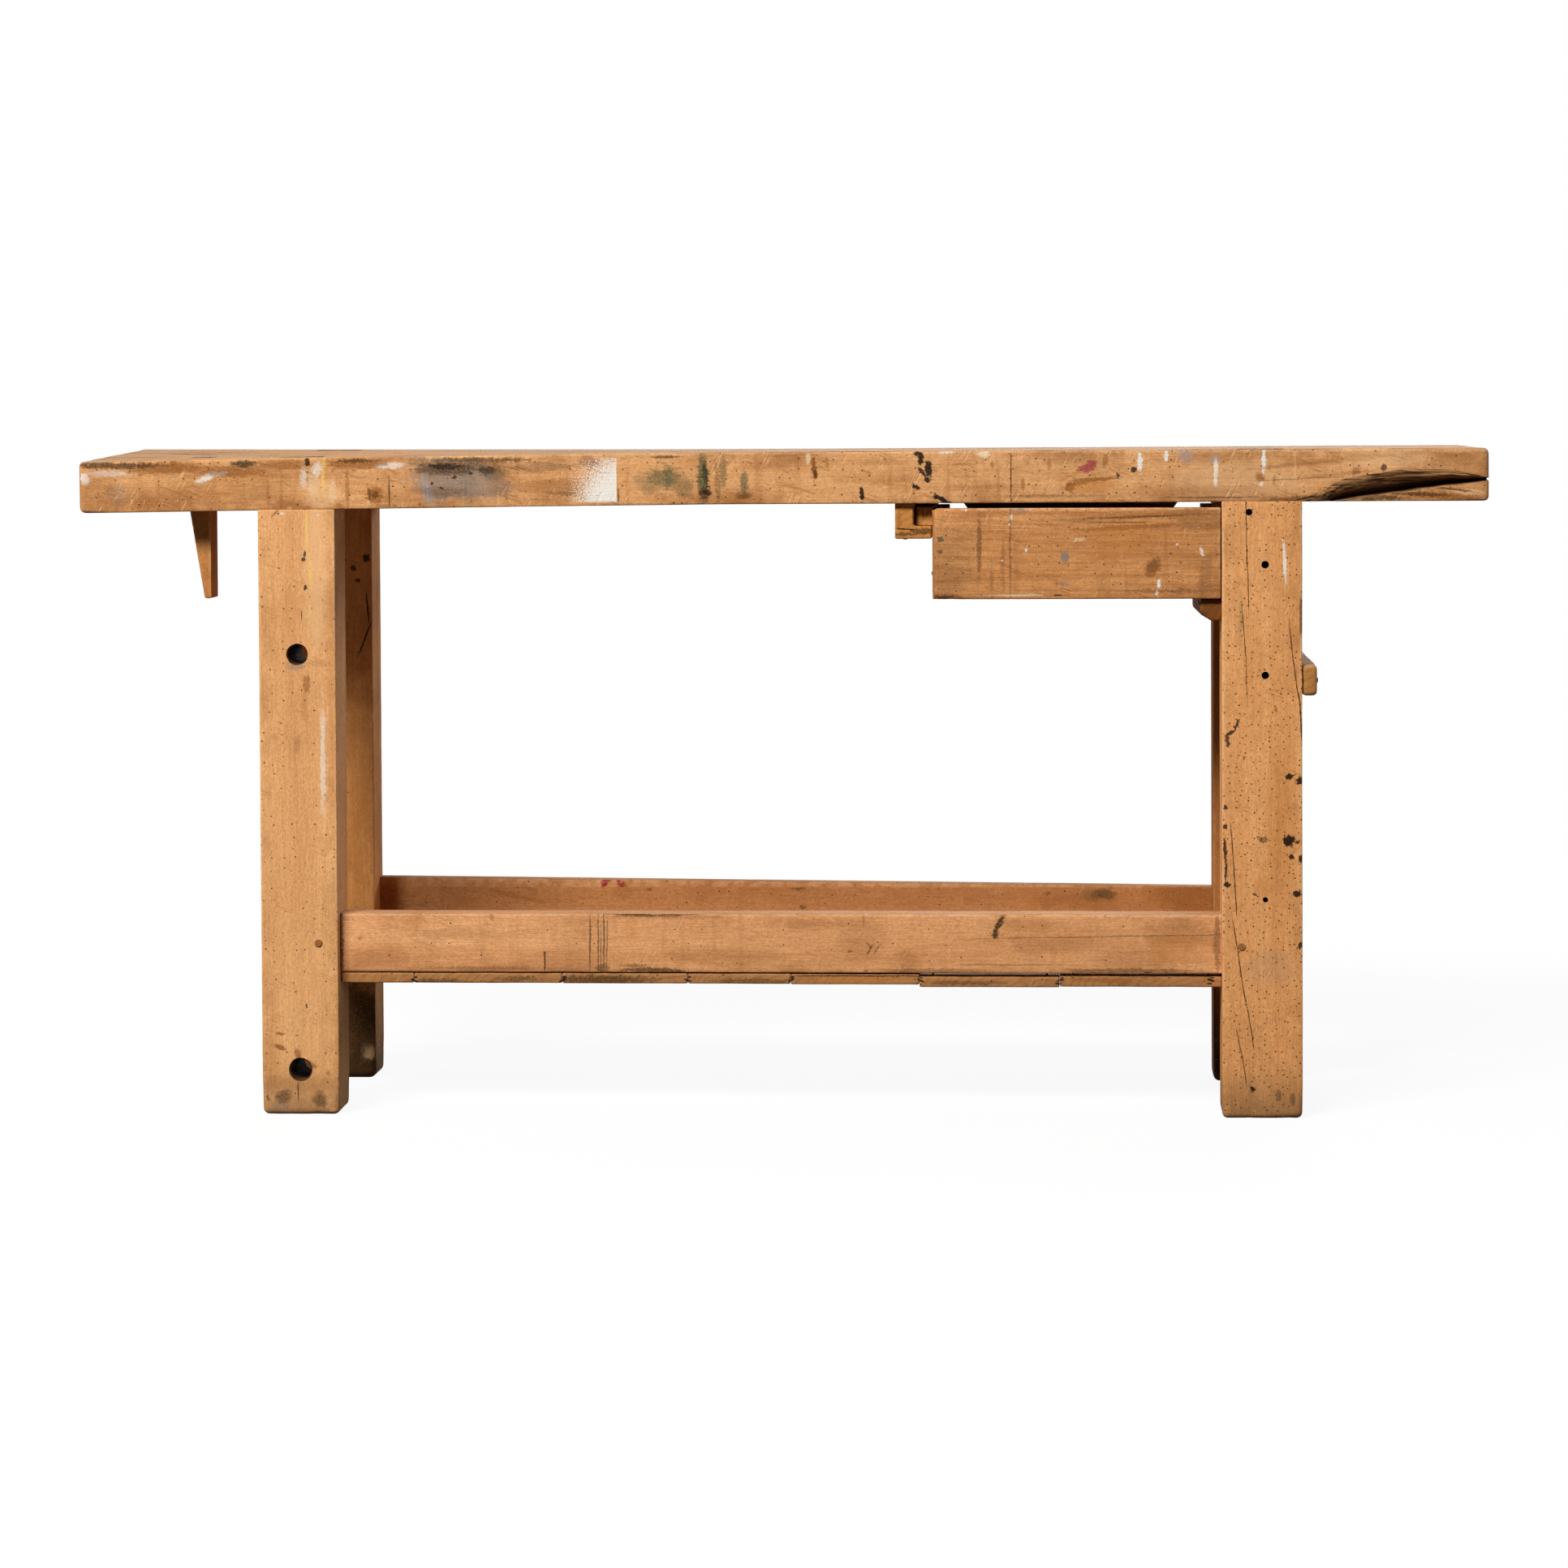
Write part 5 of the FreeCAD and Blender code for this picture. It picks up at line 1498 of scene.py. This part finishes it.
# The drawer
drawer = {
    "drawerFront": {
        "node": "drawer_front", "grain": "x", "seed": 91,
        "wood": {
            "tones": ((0.62, 0.288, 0.108), (0.525, 0.228, 0.079), (0.36, 0.137, 0.043)),
            "grime": 0.36, "smear": 0.36, "worm": (0.0115, 0.0008, 0.5), "rings": 0.3, "ringGap": 0.010,
            "streak": 0.4, "stain": 0.30, "scratch": 0.6, "dots": 0.7, "fibre": 0.3, "marks": drawerMarks,
        },
        "wear": {
            "edge": 0.0022, "chip": 0.0020, "lowWear": 0.007, "wave": 0.0003, "dent": 0.0004, "step": 0.003,
            "across": 24,
        },
    },
    "drawerLeftSide": {"node": "drawer_side_left", "grain": "y", "seed": 94},
    "drawerRightSide": {"node": "drawer_side_right", "grain": "y", "seed": 97},
    "drawerBack": {"node": "drawer_back", "grain": "x", "seed": 101},
    "drawerBottom": {"node": "drawer_bottom", "grain": "x", "seed": 104},
    "drawerHanger": {
        "node": "drawer_hanger", "grain": "y", "seed": 107, "taller": 0.006, "wider": 0.004,
        "wood": {
            "tones": ((0.70, 0.35, 0.11), (0.58, 0.27, 0.08), (0.34, 0.15, 0.04)),
            "endTone": (0.56, 0.26, 0.075), "marks": hangerMarks,
        },
    },
}
drawerWood = {"tones": ((0.62, 0.33, 0.14), (0.53, 0.26, 0.10), (0.36, 0.16, 0.055)), "grime": 0.35}
drawerWear = {"edge": 0.0009, "chip": 0.0010, "wave": 0.0002, "dent": 0.0002, "step": 0.006, "across": 20}
rabbet = {"open": 0.002, "foot": 0.64, "back": -0.17}
for name, item in drawer.items():
    low, high = (Vector(corner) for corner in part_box(item["node"]))
    look = {"grain": item["grain"], "seed": float(item["seed"]), **item.get("wood", drawerWood)}
    wood = agedWood(name + "Wood", look, item["node"])
    high.z += item.get("taller", 0.0)
    low.x -= item.get("wider", 0.0)
    worn = {**drawerWear, **item.get("wear", {})}
    piece = wornTimber(name, low, high, "xyz".index(item["grain"]), wood, item["seed"], worn)
    if name == "drawerFront":  # rabbets for the sides, open outwards
        tools = []
        for side in ("drawer_side_left", "drawer_side_right"):
            near, far = (Vector(corner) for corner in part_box(side))
            if side == "drawer_side_left":
                near.x -= rabbet["open"]
            else:
                far.x += rabbet["open"]
            near.z, far.y = rabbet["foot"], rabbet["back"]
            tools.append(boxMesh("rabbet", near, far, wood))
        carve(piece, [mergeMeshes("rabbets", tools)])
    hand(piece, "drawer", "drawer_wood", item["node"])
print("drawer")

# Pegs and nails, driven where the model has them; millimetres of half width, length and what stands out
fasteners = {
    "stretcher_pegs": ("peg", 5.0, 24.0, 0.9),
    "end_rail_pegs": ("peg", 4.5, 24.0, 0.7),
    "shelf_nails": ("nail", 3.4, 30.0, 0.5),
    "runner_nails": ("nail", 3.4, 30.0, 0.4),
    "bearer_nails": ("nail", 3.4, 30.0, 0.4),
    "kicker_nails": ("nail", 3.4, 12.0, 0.3),
    "batten_nails": ("nail", 3.4, 30.0, 0.5),
    "drawer_nails": ("nail", 2.4, 24.0, 0.2),
}
pegLook = {
    "grain": "y", "tones": ((0.50, 0.22, 0.075), (0.40, 0.165, 0.05), (0.2, 0.07, 0.018)),
    "endTone": (0.30, 0.12, 0.036), "seed": 111.0,
}
pegWood = agedWood("pegBeech", pegLook, "stretcher_pegs")
nailIron = oldIron("nailIron", ironLook)


# the separate solids of a node, each as the points of its corners
def islands(node):
    shape = bmesh.new()
    shape.from_mesh(bpy.data.objects[node].data)
    bmesh.ops.remove_doubles(shape, verts=shape.verts, dist=1e-6)
    waiting = set(shape.verts)
    found = []
    while waiting:
        stack = [waiting.pop()]
        found.append([])
        while stack:
            corner = stack.pop()
            found[-1].append(corner.co.copy())
            for line in corner.link_edges:
                end = line.other_vert(corner)
                if end in waiting:
                    waiting.remove(end)
                    stack.append(end)
    shape.free()
    return found


def reachOf(island):
    low = Vector([min(spot[i] for spot in island) for i in range(3)])
    return low, Vector([max(spot[i] for spot in island) for i in range(3)])


# where each fastener starts, and the way it goes in
def drivenSpots(node):
    spots = []
    for island in islands(node):
        low, high = reachOf(island)
        axis = max(range(3), key=lambda i: high[i] - low[i])
        across = (axis + 1) % 3
        ends = {}
        for side, place in ((1, low[axis]), (-1, high[axis])):
            near = [spot[across] for spot in island if abs(spot[axis] - place) < 1e-4]
            ends[side] = max(near) - min(near)
        if abs(ends[1] - ends[-1]) < 2e-4:  # a peg: it goes in from outside
            side = 1 if low[axis] + high[axis] < 0 else -1
        else:
            side = 1 if ends[1] > ends[-1] else -1
        spot = (low + high) / 2
        spot[axis] = low[axis] if side == 1 else high[axis]
        inward = Vector((0, 0, 0))
        inward[axis] = side
        spots.append((spot, inward))
    return sorted(spots, key=lambda item: tuple(item[0]))


# shares of the half width
pegShape = {"sides": 10, "shank": 0.97, "tip": 0.9, "crown": 0.86}
nailShape = {"sides": 8, "shank": 0.5, "tip": 0.2, "crown": 0.7}
for node, (kind, half, length, proud) in fasteners.items():
    spots = drivenSpots(node)
    mesh = bpy.data.meshes.new(node)
    mesh.from_pydata([spot - inward * proud / mm for spot, inward in spots], [], [])
    ways = mesh.attributes.new("inward", "FLOAT_VECTOR", "POINT")
    for i, (spot, inward) in enumerate(spots):
        ways.data[i].vector = inward
    piece = newPiece(node.replace("_", "") + "Driven", mesh)
    peg = kind == "peg"
    form = pegShape if peg else nailShape
    addTree(piece, driving, {
        "sides": form["sides"], **{key: half / mm * form[key] for key in ("shank", "tip", "crown")},
        "length": length / mm, "head": half / mm, "crownHeight": 0.0012, "jitter": 0.0006, "seed": 5,
        "material": pegWood if peg else nailIron,
    })
    settle(piece, 40.0)
    hand(piece, "drawer" if node == "drawer_nails" else "bench", "peg_wood" if peg else "old_iron", node)
print("pegs and nails")

wedgeLook = {
    "grain": "z", "tones": ((0.48, 0.22, 0.08), (0.40, 0.17, 0.055), (0.25, 0.095, 0.028)),
    "endTone": (0.34, 0.15, 0.05), "seed": 121.0,
}
wedgeWood = agedWood("wedgeBeech", wedgeLook, "tenon_wedges")
wedges, chamfer, wedgeProud = [], 0.0006, 0.0002
for island in sorted(islands("tenon_wedges"), key=lambda spots: tuple(reachOf(spots)[0])):
    low, high = reachOf(island)
    crown = slabHigh.z + wedgeProud + slabRise((low.x + high.x) / 2, (low.y + high.y) / 2)
    middle, thick = (low.x + high.x) / 2, (high.x - low.x) / 2
    rings = []
    for z, half in ((low.z, chamfer), (crown - chamfer, thick), (crown, thick - chamfer)):
        left, right = middle - half, middle + half
        rings.append([(left, low.y, z), (right, low.y, z), (right, high.y, z), (left, high.y, z)])
    wedges.append(skinned("wedge", rings, wedgeWood))
hand(newPiece("tenonWedges", mergeMeshes("tenonWedges", wedges)), "bench", "peg_wood", "tenon_wedges")
